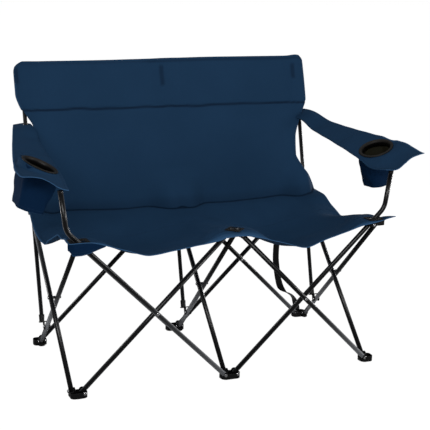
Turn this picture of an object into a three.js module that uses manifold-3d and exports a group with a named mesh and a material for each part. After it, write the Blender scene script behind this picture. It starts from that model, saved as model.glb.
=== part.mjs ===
// Folding camping loveseat: seven crossed pairs of steel legs between six feet and six corner hubs,
// three back posts that slide through the rear hubs, and a sling seat, back and two arms of cloth.
// Millimetres, +Z up, +X to the right of a viewer in front, -Y towards that viewer.
import * as THREE from "three";
import { mergeVertices } from "three/addons/utils/BufferGeometryUtils.js";
import Module from "manifold-3d";

const wasm = await Module();
wasm.setup();

// Driving dimensions
const columnPitch = 524; // centre of one leg column to the next, across the seat
const rowPitch = 520; // front feet to rear feet
const footPivotHeight = 15;
const hubPivotHeight = 487;
const tubeDiameter = 16;
const tubeWall = 1.2;
const tubeEndPastFootPivot = 7;
const tubeEndPastHubPivot = 7;
const rowPivotInset = 22; // column centre to the pivot of a front or rear leg
const sidePivotInset = 20; // row line to the pivot of a side leg
const rowPlaneOffset = 9; // half the distance between the axes of two crossed front or rear legs
const sidePlaneOffset = 12; // the same for two crossed side legs
const foldTravelDegrees = 36; // how far each leg turns between open and folded
const fit = 0.3; // gap between touching pieces
const overrun = 2; // how far a cutter runs past what it cuts

// Pins and rivets
const pinRadius = 3;
const pinHoleRadius = 3.7;
const rivetHeadRadius = 4.8;
const rivetHeadHeight = 1.6;

// Moulded feet and hubs
const bayPlay = 0.4; // between a tube and each cheek of its bay
const cheekThickness = 2.6;
const cheekRadius = 10.5;
const middleWall = 1.2;
const baySill = 4; // from the pivot down to where the end walls of a bay stop
const bayHalfLength = 10;
const footPocketDepth = 12;
const hubPocketDepth = 11;
const hubPlateThickness = 3;
const rimMargin = 1.5; // the rim of a moulding past its cheeks
const rimThickness = 2.2;
const rimRise = 3; // the rim above the pivots
const rimCorner = 13;
const blindEndReach = 13.5; // column centre to the end of a corner moulding where no leg comes in
const armSlotPlay = 1;

// Back posts and their clips
const postDiameter = 14;
const postTopHeight = 963;
const postSidewaysOffset = -3.3; // from a column's centre
const postSetback = 2; // behind the row line, where a post passes its hub
const clipDistance = 117; // along the side leg, foot pivot to clip pivot
const postEndAboveClip = 20;
const postSlotPlay = 0.6;
const postSlotRun = 11; // room behind a post for the way it leans as the legs fold
const clipCheekThickness = 2.6;
const clipCheekRadius = 9.5;
const clipWebDrop = 3.4; // thickness of the web that joins the clip's cheeks
const clipSocketLength = 24;
const clipSocketWall = 2.4;

// Arm posts, the bent upper ends of two front legs
const armPostTopHeight = 657;
const armBendStartShare = 0.3; // straight run past the hub pivot, of the arm post's rise above its hub
const armBendRadiusShare = 0.353; // of the same rise
const armLeanDegrees = 7.5; // from upright, outwards
const bendSteps = 5;
const capRadius = 9.6;
const capHeight = 8;
const capSpigot = 14;

// Cloth
const clothThickness = 2.4;
const seatAboveHub = fit + clothThickness / 2;
const seatFrontReach = 30; // past the front row line
const seatRearInset = 2; // rear row line to the seam between seat and back
const seatFoldLine = 62;
const foldSlit = 0.3;
const baySagFront = 52;
const baySagRear = 22;
const deepSag = 62;
const deepSagAtColumnShare = 0.45; // of the deep sag, left where a column of legs holds the cloth up
const deepSagAtSideShare = 0.4; // of the deep sag, left at the two side edges
const sideSag = 46;
const sideEdgeShare = 0.8; // of half the width, where the side edge's own sag begins
const hubFlatRadius = 75;
const hubFreeRadius = 150;
const frontHem = 9;
const freeHemShare = 0.5; // of the hem's drop, left away from the hubs
const clothCells = 26; // cells across the seat and the back
const backTopHeight = 981;
const bandBottomHeight = 817;
const pocketCloth = 1.5;
const bandPinch = 4.4;
const rearPinchShare = 1.5; // of the front face's pinch
const pocketHalfWidth = 34;

// Outlines of the cloth: how far along, and half the width there as a share of the column pitch
const seatAlongShares = [0, 0.06, 0.2, 0.45, 0.7, 0.9, 1];
const seatWidthShares = [1.078, 1.07, 1.027, 1.027, 1.048, 1.056, 1.061];
const backAlongShares = [0, 0.075, 0.18, 0.26, 0.39, 0.5, 0.565, 0.62, 0.66, 0.7, 0.78, 0.93, 0.97, 0.99, 1];
const backWidthShares = [
  1.061, 1.024, 0.971, 0.937, 0.945, 0.962, 0.971, 1.011, 1.032, 1.046, 1.055, 1.053, 1.046, 1.027, 1.008,
];
const armAlongShares = [0, 0.04, 0.3, 0.6, 0.85, 1];
const armInnerShares = [1.0534, 1.0324, 1, 0.9943, 0.9771, 0.9714];
const armOuterShares = [1.2939, 1.3053, 1.2443, 1.1756, 1.1164, 1.0725];

// Where the cross lines of the cloth lie, as shares of its length
const seatFrontLineShares = [0, 0.2, 0.42, 0.68, 1];
const seatRearLineShares = [0, 0.38, 0.74, 1];
const overHubShare = 0.6; // of the flat radius round a hub, to the nearest cross line
const backLineShares = [0, 0.08, 0.18, 0.27, 0.38, 0.51, 0.6, 0.6465, 0.6575, 0.7, 0.81, 0.94, 0.985, 1];

// Arms
const armFrontReach = 23; // past the front row line
const armPastPost = 17; // rear end of the arm behind the middle of its back post
const armFoldLine = 40;
const armOverCap = 1.5; // the cap of an arm post to the cloth over it
const ringPastColumn = 67;
const ringBehindFront = 149;
const armRollSlopeShare = 0.414;
const armPitchSlopeShare = 0.17;
const armRiseStart = 100;
const armRearRise = 8;
const armTipDroop = 3;
const armTipLength = 98;
const armCells = 6;
const armFrontCells = 6;
const armRearCells = 5;

// Cup holders
const ringRadius = 60;
const ringBore = 46;
const ringNeckRadius = 50.5;
const ringFlange = 4;
const ringNeckDepth = 16;
const pouchTopWidth = 108;
const pouchTopLength = 132;
const pouchBottomWidth = 84;
const pouchBottomLength = 100;
const pouchDepth = 128;
const pouchWall = 2.2;
const pouchCorner = 11;

// Small trim and strap
const patchWidth = 52;
const patchLength = 50;
const patchThickness = 1.2;
const patchCorner = 4.8;
const cornerPatchWidth = 62;
const buttonLength = 26;
const buttonWidth = 15;
const buttonHeight = 4;
const strapWidth = 25;
const strapThickness = 2;
const strapStandOff = 24; // how far behind the rear row line it hangs
const strapSlack = 98;
const strapTwistShare = 0.12;
const strapSteps = 24;
const strapInwardShares = [0.52, 0.86, 0.86, 0.62, 0.3, 0.12]; // of the slack, at each height share below
const strapDownShares = [0.13, 0.34, 0.56, 0.76, 0.84, 0.93];

// Facets round a circle
const tubeSides = 12;
const boreSides = 8;
const pinSides = 6;
const headSides = 6;
const ringSides = 20;
const cheekSides = 5;
const cornerSides = 3;

const rise = hubPivotHeight - footPivotHeight;
const span = columnPitch - rowPivotInset - rowPivotInset;
const legLength = Math.hypot(span, rise);
const restAngle = Math.atan2(rise, span);
const foldTravel = THREE.MathUtils.degToRad(foldTravelDegrees);
const armLean = THREE.MathUtils.degToRad(armLeanDegrees);
const tubeRadius = tubeDiameter / 2;
const postRadius = postDiameter / 2;
const halfRow = rowPitch / 2;
const seatRearLine = halfRow - seatRearInset;
const armPostRise = armPostTopHeight - hubPivotHeight;
const armBendStart = armPostRise * armBendStartShare;
const armBendRadius = armPostRise * armBendRadiusShare;
const hubTop = hubPivotHeight + hubPocketDepth + hubPlateThickness;
const seatLevel = hubTop + seatAboveHub;
const columns = { left: -1, centre: 0, right: 1 };
const rows = { front: -1, rear: 1 };

const tubeSteel = new THREE.MeshStandardMaterial({ color: 0x17181b, roughness: 0.32, metalness: 0.6 });
const rivetSteel = new THREE.MeshStandardMaterial({ color: 0xc4c5c6, roughness: 0.35, metalness: 1 });
const blackPlastic = new THREE.MeshStandardMaterial({ color: 0x141416, roughness: 0.5, metalness: 0 });
const ringPlastic = new THREE.MeshStandardMaterial({ color: 0x2b2824, roughness: 0.45, metalness: 0 });
const navyCloth = new THREE.MeshStandardMaterial({ color: 0x1b2e46, roughness: 0.85, metalness: 0 });
const blackWebbing = new THREE.MeshStandardMaterial({ color: 0x101114, roughness: 0.9, metalness: 0 });

const loveseat = new THREE.Group();

// A closed geometry as a solid that can be cut and joined.
function solid(geometry) {
  const bare = geometry.clone();
  bare.deleteAttribute("normal");
  bare.deleteAttribute("uv");
  const merged = mergeVertices(bare, 1e-4);
  const vertProperties = new Float32Array(merged.attributes.position.array);
  const triVerts = new Uint32Array(merged.index.array);
  return new wasm.Manifold(new wasm.Mesh({ numProp: 3, vertProperties, triVerts }));
}

function joined(solids) {
  return solids.reduce((whole, next) => whole.add(next));
}

function cut(body, cutters) {
  return cutters.reduce((left, cutter) => left.subtract(cutter), body);
}

function geometryOf(body) {
  const mesh = body.getMesh();
  const geometry = new THREE.BufferGeometry();
  geometry.setAttribute("position", new THREE.BufferAttribute(mesh.vertProperties, mesh.numProp));
  geometry.setIndex(new THREE.BufferAttribute(mesh.triVerts, 1));
  geometry.computeVertexNormals();
  return geometry;
}

function place(name, body, material) {
  const mesh = new THREE.Mesh(geometryOf(body), material);
  mesh.name = name;
  loveseat.add(mesh);
  return mesh;
}

function moved(geometry, x, y, z) {
  return geometry.applyMatrix4(new THREE.Matrix4().makeTranslation(x, y, z));
}

// A path that gives back exactly the points it was made with, one per step.
class KnotPath extends THREE.Curve {
  constructor(knots) {
    super();
    this.knots = knots;
  }
  getPoint(t) {
    const steps = this.knots.length - 1;
    const index = Math.min(Math.floor(t * steps), steps - 1);
    return this.knots[index].clone().lerp(this.knots[index + 1], t * steps - index);
  }
  getPointAt(u) {
    return this.getPoint(u);
  }
  getTangentAt(u) {
    return this.getTangent(u);
  }
}

function tubeAlong(knots, outerRadius, wall, sides) {
  const ring = (radius, count) =>
    Array.from({ length: count }, (_, index) => (index * 2 * Math.PI) / count).map(
      (angle) => new THREE.Vector2(radius * Math.cos(angle), radius * Math.sin(angle)),
    );
  const section = new THREE.Shape(ring(outerRadius, sides));
  if (wall > 0) section.holes.push(new THREE.Path(ring(outerRadius - wall, boreSides).reverse()));
  const extrudePath = new KnotPath(knots);
  return solid(new THREE.ExtrudeGeometry(section, { steps: knots.length - 1, extrudePath }));
}

// A round bar between two points.
function barBetween(from, to, radius, sides) {
  return tubeAlong([from, to], radius, 0, sides);
}

// A round bar of a given length, centred on a point, along the X or the Y axis.
function pinAlong(axis, centre, length, radius, sides) {
  const half = axis.clone().multiplyScalar(length / 2);
  return barBetween(centre.clone().sub(half), centre.clone().add(half), radius, sides);
}

const alongX = new THREE.Vector3(1, 0, 0);
const alongY = new THREE.Vector3(0, 1, 0);

// A rivet: its shank and a head at each end of the grip.
function rivet(axis, centre, grip) {
  const headStep = axis.clone().multiplyScalar((grip + rivetHeadHeight) / 2);
  return joined([
    pinAlong(axis, centre, grip + rivetHeadHeight, pinRadius, pinSides),
    pinAlong(axis, centre.clone().add(headStep), rivetHeadHeight, rivetHeadRadius, headSides),
    pinAlong(axis, centre.clone().sub(headStep), rivetHeadHeight, rivetHeadRadius, headSides),
  ]);
}

// The profile of a cheek: straight below its pivot, round above it.
function cheekShape(halfWidth, depth) {
  const shape = new THREE.Shape();
  shape.moveTo(-halfWidth, -depth);
  shape.lineTo(halfWidth, -depth);
  shape.absarc(0, 0, halfWidth, 0, Math.PI);
  return shape;
}

// A rectangle with rounded corners, from its low to its high corner.
function roundedPlate(lowX, highX, lowY, highY, corner) {
  const shape = new THREE.Shape();
  shape.absarc(highX - corner, highY - corner, corner, 0, Math.PI / 2);
  shape.absarc(lowX + corner, highY - corner, corner, Math.PI / 2, Math.PI);
  shape.absarc(lowX + corner, lowY + corner, corner, Math.PI, 1.5 * Math.PI);
  shape.absarc(highX - corner, lowY + corner, corner, 1.5 * Math.PI, 2 * Math.PI);
  return shape;
}

function extruded(shape, depth, curveSegments) {
  return new THREE.ExtrudeGeometry(shape, { depth, bevelEnabled: false, curveSegments });
}

// Extrudes a profile drawn in X and Z along Y, from low to high.
function extrudedAlongY(shape, low, high) {
  const flat = extruded(shape, high - low, cheekSides);
  return solid(moved(flat.rotateX(Math.PI / 2), 0, high, 0));
}

// Extrudes a profile drawn in Y and Z along X, from low to high.
function extrudedAlongX(shape, low, high) {
  const flat = extruded(shape, high - low, cheekSides);
  return solid(moved(flat.rotateX(Math.PI / 2).rotateZ(Math.PI / 2), low, 0, 0));
}

function extrudedUp(shape, low, high) {
  return solid(moved(extruded(shape, high - low, cornerSides), 0, 0, low));
}

function block(lowX, highX, lowY, highY, lowZ, highZ) {
  const box = new THREE.BoxGeometry(highX - lowX, highY - lowY, highZ - lowZ);
  return solid(moved(box, (lowX + highX) / 2, (lowY + highY) / 2, (lowZ + highZ) / 2));
}

// The room a leg has in its bay, drawn with the leg's pivot at the origin and the leg in X and Z.
function bayRoom(halfSlot, pocketDepth) {
  const reach = cheekRadius + overrun;
  const slot = block(-reach, reach, -halfSlot, halfSlot, -baySill, reach);
  return slot.add(block(-bayHalfLength, bayHalfLength, -halfSlot, halfSlot, -pocketDepth, 0));
}

// The moulding shared by feet and hubs, as a front foot: a tray with a rounded rim, with a bay for the
// leg that comes from the left, one for the leg from the right and one for the side leg. At the end of
// a row, where no leg comes in, the tray is short and its end is closed.
function cornerMoulding(pocketDepth, plateThickness, hasLeft, hasRight) {
  const halfSlot = tubeRadius + bayPlay;
  const outerCheek = rowPlaneOffset + halfSlot + cheekThickness;
  const innerCheek = middleWall / 2;
  const depth = pocketDepth + plateThickness;
  const sideLow = -sidePlaneOffset - halfSlot - cheekThickness;
  const sideHigh = -sidePlaneOffset + halfSlot + cheekThickness;
  const bayEnd = rowPivotInset + cheekRadius + rimMargin;
  const trays = [
    [-(hasLeft ? bayEnd : blindEndReach), hasRight ? bayEnd : blindEndReach, -outerCheek, outerCheek],
    [sideLow, sideHigh, -outerCheek, sidePivotInset + cheekRadius + rimMargin],
  ];
  const filled = (inset, low, high) =>
    joined(
      trays.map(([lowX, highX, lowY, highY]) => {
        const corner = Math.min(rimCorner, (highX - lowX) / 2 - fit) - inset;
        const plan = roundedPlate(lowX + inset, highX - inset, lowY + inset, highY - inset, corner);
        return extrudedUp(plan, low, high);
      }),
    );
  const tray = cut(filled(0, -depth, rimRise), [filled(rimThickness, -pocketDepth, rimRise + overrun)]);
  const cheek = cheekShape(cheekRadius, depth - plateThickness / 2);
  const walls = [extrudedAlongX(cheek, sideLow, sideHigh).translate([0, sidePivotInset, 0])];
  const room = bayRoom(halfSlot, pocketDepth);
  const rooms = [room.rotate([0, 0, 90]).translate([-sidePlaneOffset, sidePivotInset, 0])];
  if (hasLeft) {
    walls.push(extrudedAlongY(cheek, -outerCheek, innerCheek).translate([-rowPivotInset, 0, 0]));
    rooms.push(room.translate([-rowPivotInset, -rowPlaneOffset, 0]));
  }
  if (hasRight) {
    walls.push(extrudedAlongY(cheek, -innerCheek, outerCheek).translate([rowPivotInset, 0, 0]));
    rooms.push(room.translate([rowPivotInset, rowPlaneOffset, 0]));
  }
  return { body: cut(joined([tray, ...walls]), rooms), outerCheek, innerCheek, sideLow, sideHigh };
}

// The rivets that hold the legs in a moulding: left, right and side, where a leg is there.
function mouldingRivets(moulding, hasLeft, hasRight) {
  const rowGrip = moulding.outerCheek + moulding.innerCheek;
  const rowMiddle = (moulding.outerCheek - moulding.innerCheek) / 2;
  const sideGrip = moulding.sideHigh - moulding.sideLow;
  const sideMiddle = (moulding.sideHigh + moulding.sideLow) / 2;
  const rivets = [rivet(alongX, new THREE.Vector3(sideMiddle, sidePivotInset, 0), sideGrip)];
  if (hasLeft) rivets.push(rivet(alongY, new THREE.Vector3(-rowPivotInset, -rowMiddle, 0), rowGrip));
  if (hasRight) rivets.push(rivet(alongY, new THREE.Vector3(rowPivotInset, rowMiddle, 0), rowGrip));
  return rivets;
}

// The fan that a leg running on past its hub sweeps between open and folded.
function armSlot(side) {
  const reach = legLength;
  const radius = tubeRadius + armSlotPlay;
  const start = cheekRadius;
  const shape = new THREE.Shape();
  const openRun = new THREE.Vector2(Math.cos(restAngle), Math.sin(restAngle));
  const foldedRun = new THREE.Vector2(Math.cos(restAngle + foldTravel), Math.sin(restAngle + foldTravel));
  const corner = (run, along, across) =>
    new THREE.Vector2(side * (run.x * along + run.y * across), run.y * along - run.x * across);
  const outline = [
    corner(openRun, -start, radius),
    corner(openRun, reach, radius),
    corner(foldedRun, reach, -radius),
    corner(foldedRun, -start, -radius),
  ];
  shape.setFromPoints(side > 0 ? outline : outline.reverse());
  const middle = side * rowPlaneOffset;
  const halfSlot = tubeRadius + bayPlay;
  const pivot = [-side * rowPivotInset, 0, 0];
  return extrudedAlongY(shape, middle - halfSlot, middle + halfSlot).translate(pivot);
}

// The slot in a rear hub for its back post, which stands steeper as the legs fold.
function postSlot() {
  const radius = postRadius + postSlotPlay;
  const reach = columnPitch;
  const shape = new THREE.Shape();
  shape.absarc(0, 0, radius, Math.PI, 2 * Math.PI);
  shape.absarc(0, postSlotRun, radius, 0, Math.PI);
  const slots = [postLean, foldedPostLean].map((lean) => {
    const flat = extruded(shape, reach, cheekSides);
    const leaning = new THREE.Matrix4().makeRotationX(-lean);
    const upright = moved(flat, 0, 0, -reach / 2).applyMatrix4(leaning);
    return solid(moved(upright, postSidewaysOffset, postSetback, 0));
  });
  return joined(slots);
}

// Leg places
function rowLeg(row, bayIndex, rising) {
  const y = rows[row] * halfRow + (rising ? rowPlaneOffset : -rowPlaneOffset);
  const low = rising ? bayIndex - 1 : bayIndex;
  const high = rising ? bayIndex : bayIndex - 1;
  const way = Math.sign(high - low);
  return {
    foot: new THREE.Vector3(low * columnPitch + way * rowPivotInset, y, footPivotHeight),
    hub: new THREE.Vector3(high * columnPitch - way * rowPivotInset, y, hubPivotHeight),
    axis: alongY,
  };
}

function sideLeg(column, fromRow) {
  const way = -rows[fromRow];
  const x = columns[column] * columnPitch - way * sidePlaneOffset;
  return {
    foot: new THREE.Vector3(x, -way * (halfRow - sidePivotInset), footPivotHeight),
    hub: new THREE.Vector3(x, way * (halfRow - sidePivotInset), hubPivotHeight),
    axis: alongX,
  };
}

// The clip pivot on a side leg, and the lean of the post that runs from it through the rear hub.
const clipY = halfRow - sidePivotInset - clipDistance * Math.cos(restAngle);
const clipZ = footPivotHeight + clipDistance * Math.sin(restAngle);
const postLean = Math.atan2(halfRow + postSetback - clipY, hubPivotHeight - clipZ);
const postRun = new THREE.Vector3(0, Math.sin(postLean), Math.cos(postLean));
const foldedAngle = restAngle + foldTravel;
const foldedPostLean = Math.atan2(
  postSetback + sidePivotInset + clipDistance * Math.cos(foldedAngle),
  (legLength - clipDistance) * Math.sin(foldedAngle),
);

function postPoint(column, height) {
  const along = (height - clipZ) / postRun.z;
  const foot = new THREE.Vector3(columns[column] * columnPitch + postSidewaysOffset, clipY, clipZ);
  return foot.addScaledVector(postRun, along);
}

function pinHole(axis, centre) {
  return pinAlong(axis, centre, tubeDiameter + overrun * 2, pinHoleRadius, pinSides);
}

// A straight leg with its three rivet holes, and the clip hole where a back post stands on it.
function leg(name, { foot, hub, axis }, withClip) {
  const run = hub.clone().sub(foot).normalize();
  const low = foot.clone().addScaledVector(run, -tubeEndPastFootPivot);
  const high = hub.clone().addScaledVector(run, tubeEndPastHubPivot);
  const holes = [foot, hub, foot.clone().lerp(hub, 1 / 2)];
  if (withClip) holes.push(foot.clone().addScaledVector(run, clipDistance));
  const tube = tubeAlong([low, high], tubeRadius, tubeWall, tubeSides);
  place(name, cut(tube, holes.map((centre) => pinHole(axis, centre))), tubeSteel);
}

// The knots of a front leg that runs on past its corner hub and bends up into the arm post.
function armLegKnots({ foot, hub }) {
  const side = Math.sign(hub.x);
  const run = hub.clone().sub(foot).normalize();
  const bendFrom = hub.clone().addScaledVector(run, armBendStart);
  const turn = Math.PI / 2 - armLean - restAngle;
  const inward = new THREE.Vector3(-side * run.z, 0, side * run.x);
  const centre = bendFrom.clone().addScaledVector(inward, armBendRadius);
  const knots = [foot.clone().addScaledVector(run, -tubeEndPastFootPivot), bendFrom];
  for (let step = 1; step <= bendSteps; step += 1) {
    const angle = (turn * step) / bendSteps;
    const spoke = inward.clone().multiplyScalar(-Math.cos(angle)).addScaledVector(run, Math.sin(angle));
    knots.push(centre.clone().addScaledVector(spoke, armBendRadius));
  }
  const lean = new THREE.Vector3(side * Math.sin(armLean), 0, Math.cos(armLean));
  const last = knots[knots.length - 1];
  knots.push(last.clone().addScaledVector(lean, (armPostTopHeight - last.z) / lean.z));
  return { knots, lean };
}

function armLeg(name, legPlace, capName) {
  const { knots, lean } = armLegKnots(legPlace);
  const { foot, hub, axis } = legPlace;
  const holes = [foot, hub, foot.clone().lerp(hub, 1 / 2)];
  const tube = tubeAlong(knots, tubeRadius, tubeWall, tubeSides);
  place(name, cut(tube, holes.map((centre) => pinHole(axis, centre))), tubeSteel);
  const top = knots[knots.length - 1];
  const plug = [
    barBetween(
      top.clone().addScaledVector(lean, -capSpigot),
      top.clone().addScaledVector(lean, capHeight / 2),
      (tubeRadius - tubeWall) * Math.cos(Math.PI / boreSides) - fit,
      tubeSides,
    ),
    barBetween(
      top.clone().addScaledVector(lean, fit),
      top.clone().addScaledVector(lean, capHeight),
      capRadius,
      tubeSides,
    ),
  ];
  place(capName, joined(plug), blackPlastic);
}

function crossingRivet(name, { foot, hub, axis }, offset) {
  const middle = foot.clone().lerp(hub, 1 / 2);
  middle.setComponent(axis === alongY ? 1 : 0, middle.getComponent(axis === alongY ? 1 : 0) - offset);
  const spacerRadius = rivetHeadRadius;
  const gap = offset * 2 - tubeDiameter;
  const parts = [
    rivet(axis, middle, offset * 2 + tubeDiameter + fit * 2),
    pinAlong(axis, middle, gap - fit * 2, spacerRadius, pinSides),
  ];
  place(name, joined(parts), rivetSteel);
}

// The fan that a side leg sweeps past its back post between open and folded, with the post upright.
function sweptBySideLeg(lowX, highX) {
  const radius = tubeRadius + bayPlay;
  const openTurn = Math.PI / 2 - restAngle + postLean;
  const foldedTurn = Math.PI / 2 - foldedAngle + foldedPostLean;
  const corner = (turn, along, across) =>
    new THREE.Vector2(across, along).rotateAround(new THREE.Vector2(0, 0), turn);
  const outline = [
    corner(openTurn, 0, -radius),
    corner(openTurn, columnPitch, -radius),
    corner(foldedTurn, columnPitch, radius),
    corner(foldedTurn, 0, radius),
  ];
  return extrudedAlongX(new THREE.Shape(outline), lowX, highX);
}

// The clip at the foot of a back post: a fork pinned over the side leg, and a socket beside it for
// the post, with its pivot at the height of the origin. It is open where the leg swings through.
function postClip(legX, postX) {
  const halfGap = tubeRadius + bayPlay;
  const socketRadius = postRadius + fit + clipSocketWall;
  const cheekLow = legX - halfGap - clipCheekThickness;
  const cheekHigh = legX + halfGap + clipCheekThickness;
  const webFrom = postEndAboveClip - fit - clipWebDrop;
  const webTo = webFrom + clipWebDrop;
  const wide = clipCheekRadius + overrun;
  const fork = extrudedAlongX(cheekShape(clipCheekRadius, webTo), cheekLow, cheekHigh).rotate([180, 0, 0]);
  const gap = block(legX - halfGap, legX + halfGap, -wide, wide, -wide, webFrom);
  const shelfFrom = postX - socketRadius;
  const shelfTo = cheekLow + clipCheekThickness;
  const shelf = block(shelfFrom, shelfTo, -clipCheekRadius, clipCheekRadius, webFrom, webTo);
  const upright = (low, high, radius) =>
    barBetween(new THREE.Vector3(postX, 0, low), new THREE.Vector3(postX, 0, high), radius, tubeSides);
  const socketTop = postEndAboveClip + clipSocketLength;
  const socket = upright(webFrom, socketTop, socketRadius);
  const bore = upright(postEndAboveClip - fit, socketTop + overrun, postRadius + fit);
  const swept = sweptBySideLeg(legX - halfGap, legX + halfGap);
  const pin = rivet(alongX, new THREE.Vector3(legX, 0, 0), cheekHigh - cheekLow);
  return joined([cut(joined([cut(fork, [gap]), shelf, socket]), [bore, swept]), pin]);
}

function backPost(column) {
  const low = postPoint(column, clipZ).addScaledVector(postRun, postEndAboveClip);
  const high = postPoint(column, postTopHeight);
  place(`back_post_${column}`, tubeAlong([low, high], postRadius, tubeWall, tubeSides), tubeSteel);
  const middle = columns[column] * columnPitch;
  const clip = postClip(middle + sidePlaneOffset, middle + postSidewaysOffset);
  const degrees = THREE.MathUtils.radToDeg(-postLean);
  place(`post_clip_${column}`, clip.rotate([degrees, 0, 0]).translate([0, clipY, clipZ]), blackPlastic);
}

// The moulding of a row and column with its rivets, turned half round where it is a foot behind or a
// hub in front.
function turnedMoulding(column, turned, pocketDepth, plateThickness) {
  const fromLeft = columns[column] > -1;
  const fromRight = columns[column] < 1;
  const hasLeft = turned ? fromRight : fromLeft;
  const hasRight = turned ? fromLeft : fromRight;
  const moulding = cornerMoulding(pocketDepth, plateThickness, hasLeft, hasRight);
  return { body: moulding.body, rivets: joined(mouldingRivets(moulding, hasLeft, hasRight)) };
}

// A foot stands on the plate of its moulding.
function foot(row, column) {
  const turned = row === "rear";
  const { body, rivets } = turnedMoulding(column, turned, footPocketDepth, footPivotHeight - footPocketDepth);
  const spot = [columns[column] * columnPitch, rows[row] * halfRow, footPivotHeight];
  place(`foot_${row}_${column}`, body.add(rivets).rotate([0, 0, turned ? 180 : 0]).translate(spot), blackPlastic);
}

// A hub is the same moulding upside down, open above where an arm post or a back post passes.
function hub(row, column) {
  const turned = row === "front";
  const moulding = turnedMoulding(column, turned, hubPocketDepth, hubPlateThickness);
  const halfTurn = [180, 0, turned ? 180 : 0];
  let body = moulding.body.rotate(halfTurn);
  if (row === "front" && columns[column] !== 0) body = cut(body, [armSlot(columns[column])]);
  if (row === "rear") body = cut(body, [postSlot()]);
  const spot = [columns[column] * columnPitch, rows[row] * halfRow, hubPivotHeight];
  place(`hub_${row}_${column}`, body.add(moulding.rivets.rotate(halfTurn)).translate(spot), blackPlastic);
}

// Cloth: a box of unit size whose grid is carried onto a surface, with the cloth's thickness across it.
function clothOver(surface, acrossSteps, alongSteps, thickness) {
  const geometry = new THREE.BoxGeometry(1, 1, 1, acrossSteps, alongSteps, 1);
  const position = geometry.attributes.position;
  const step = 1 / 512;
  for (let index = 0; index < position.count; index += 1) {
    const u = position.getX(index) + 0.5;
    const v = position.getY(index) + 0.5;
    const here = surface(u, v);
    const du = surface(u + step, v).sub(surface(u - step, v));
    const dv = surface(u, v + step).sub(surface(u, v - step));
    const normal = du.cross(dv).normalize();
    here.addScaledVector(normal, position.getZ(index) * thickness);
    position.setXYZ(index, here.x, here.y, here.z);
  }
  return solid(geometry);
}

function smooth(value, low, high) {
  return THREE.MathUtils.smoothstep(value, low, high);
}

// A smooth line through values at given shares of a run.
function lineThrough(shares, values) {
  const curve = new THREE.CatmullRomCurve3(
    shares.map((share, index) => new THREE.Vector3(share, values[index], 0)),
    false,
    "centripetal",
  );
  const points = curve.getPoints(shares.length * 12);
  return (share) => {
    const clamped = Math.min(Math.max(share, shares[0]), shares[shares.length - 1]);
    const next = points.findIndex((point) => point.x >= clamped);
    if (next <= 0) return points[0].y;
    const from = points[next - 1];
    const to = points[next];
    return from.y + ((to.y - from.y) * (clamped - from.x)) / (to.x - from.x);
  };
}

// A width that changes along the cloth, from shares of the column pitch.
function widthLine(alongShares, widthShares) {
  return lineThrough(
    alongShares,
    widthShares.map((share) => share * columnPitch),
  );
}

// Half the seat's width, from its front edge to the seam with the back.
const seatHalfWidth = widthLine(seatAlongShares, seatWidthShares);

// The sling seat: level on the hubs, sagging between them, deepest in the middle of each place.
function seatPoint(across, y) {
  const front = -halfRow - seatFrontReach;
  const along = (y - front) / (seatRearLine - front);
  const x = across * seatHalfWidth(along);
  const nearest = Math.round(THREE.MathUtils.clamp(x / columnPitch, -1, 1)) * columnPitch;
  const rowLine = y < 0 ? -halfRow : halfRow;
  const fromHub = Math.hypot(x - nearest, y - rowLine);
  const free = smooth(fromHub, hubFlatRadius, hubFreeRadius);
  const betweenColumns = Math.sin((Math.PI * x) / columnPitch) ** 2;
  const betweenRows = Math.sin(Math.PI * THREE.MathUtils.clamp(along, 0, 1));
  const edge = THREE.MathUtils.lerp(baySagFront, baySagRear, smooth(along, 0, 1));
  const outside = smooth(Math.abs(across), sideEdgeShare, 1);
  const overColumns = THREE.MathUtils.lerp(deepSagAtColumnShare, 1, betweenColumns);
  const atSides = THREE.MathUtils.lerp(1, deepSagAtSideShare, outside);
  const deep = deepSag * betweenRows * overColumns * atSides;
  const sag = edge * betweenColumns + deep + sideSag * outside * betweenRows ** 2;
  const turnedDown = frontHem * THREE.MathUtils.lerp(1, freeHemShare, free);
  const hem = turnedDown * (1 - smooth(y, front, front + frontHem));
  return new THREE.Vector3(x, y, seatLevel - sag * free - hem);
}

// One half of the seat, on cross lines placed so that the cloth lies level over every hub.
function seatPanel(lines) {
  const steps = lines.length - 1;
  const surface = (u, v) => {
    const index = THREE.MathUtils.clamp(Math.floor(v * steps), 0, steps - 1);
    return seatPoint(2 * u - 1, THREE.MathUtils.lerp(lines[index], lines[index + 1], v * steps - index));
  };
  return clothOver(surface, clothCells, steps, clothThickness);
}

// The slot in the seat, and in its corner patch, for an arm post on its way up from the hub.
function armTubeSlot(column) {
  const side = columns[column];
  const y = -halfRow + side * rowPlaneOffset;
  const half = tubeRadius + bayPlay + bayPlay;
  const pivotX = side * (columnPitch - rowPivotInset);
  const patchTop = seatLevel + clothThickness + patchThickness;
  const tubeOut = tubeRadius / Math.sin(restAngle) + overrun;
  const reachOut = (patchTop - hubPivotHeight) / Math.tan(restAngle) + tubeOut;
  const ends = [pivotX - side * tubeRadius, pivotX + side * reachOut];
  const lowZ = hubTop - frontHem - overrun;
  return block(Math.min(...ends), Math.max(...ends), y - half, y + half, lowZ, seatLevel + tubeDiameter);
}

function seat() {
  const frontEdge = -halfRow - seatFrontReach;
  const overHub = halfRow - hubFlatRadius * overHubShare;
  const between = (from, to, shares) => shares.map((share) => THREE.MathUtils.lerp(from, to, share));
  const frontLines = [
    frontEdge,
    frontEdge + frontHem,
    ...between(-overHub, seatFoldLine - foldSlit, seatFrontLineShares),
  ];
  const rearLines = [...between(seatFoldLine + foldSlit, overHub, seatRearLineShares), seatRearLine];
  const slots = ["left", "right"].map((column) => armTubeSlot(column));
  place("seat_front_panel", cut(seatPanel(frontLines), slots), navyCloth);
  place("seat_rear_panel", seatPanel(rearLines), navyCloth);
  return slots;
}

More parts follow.
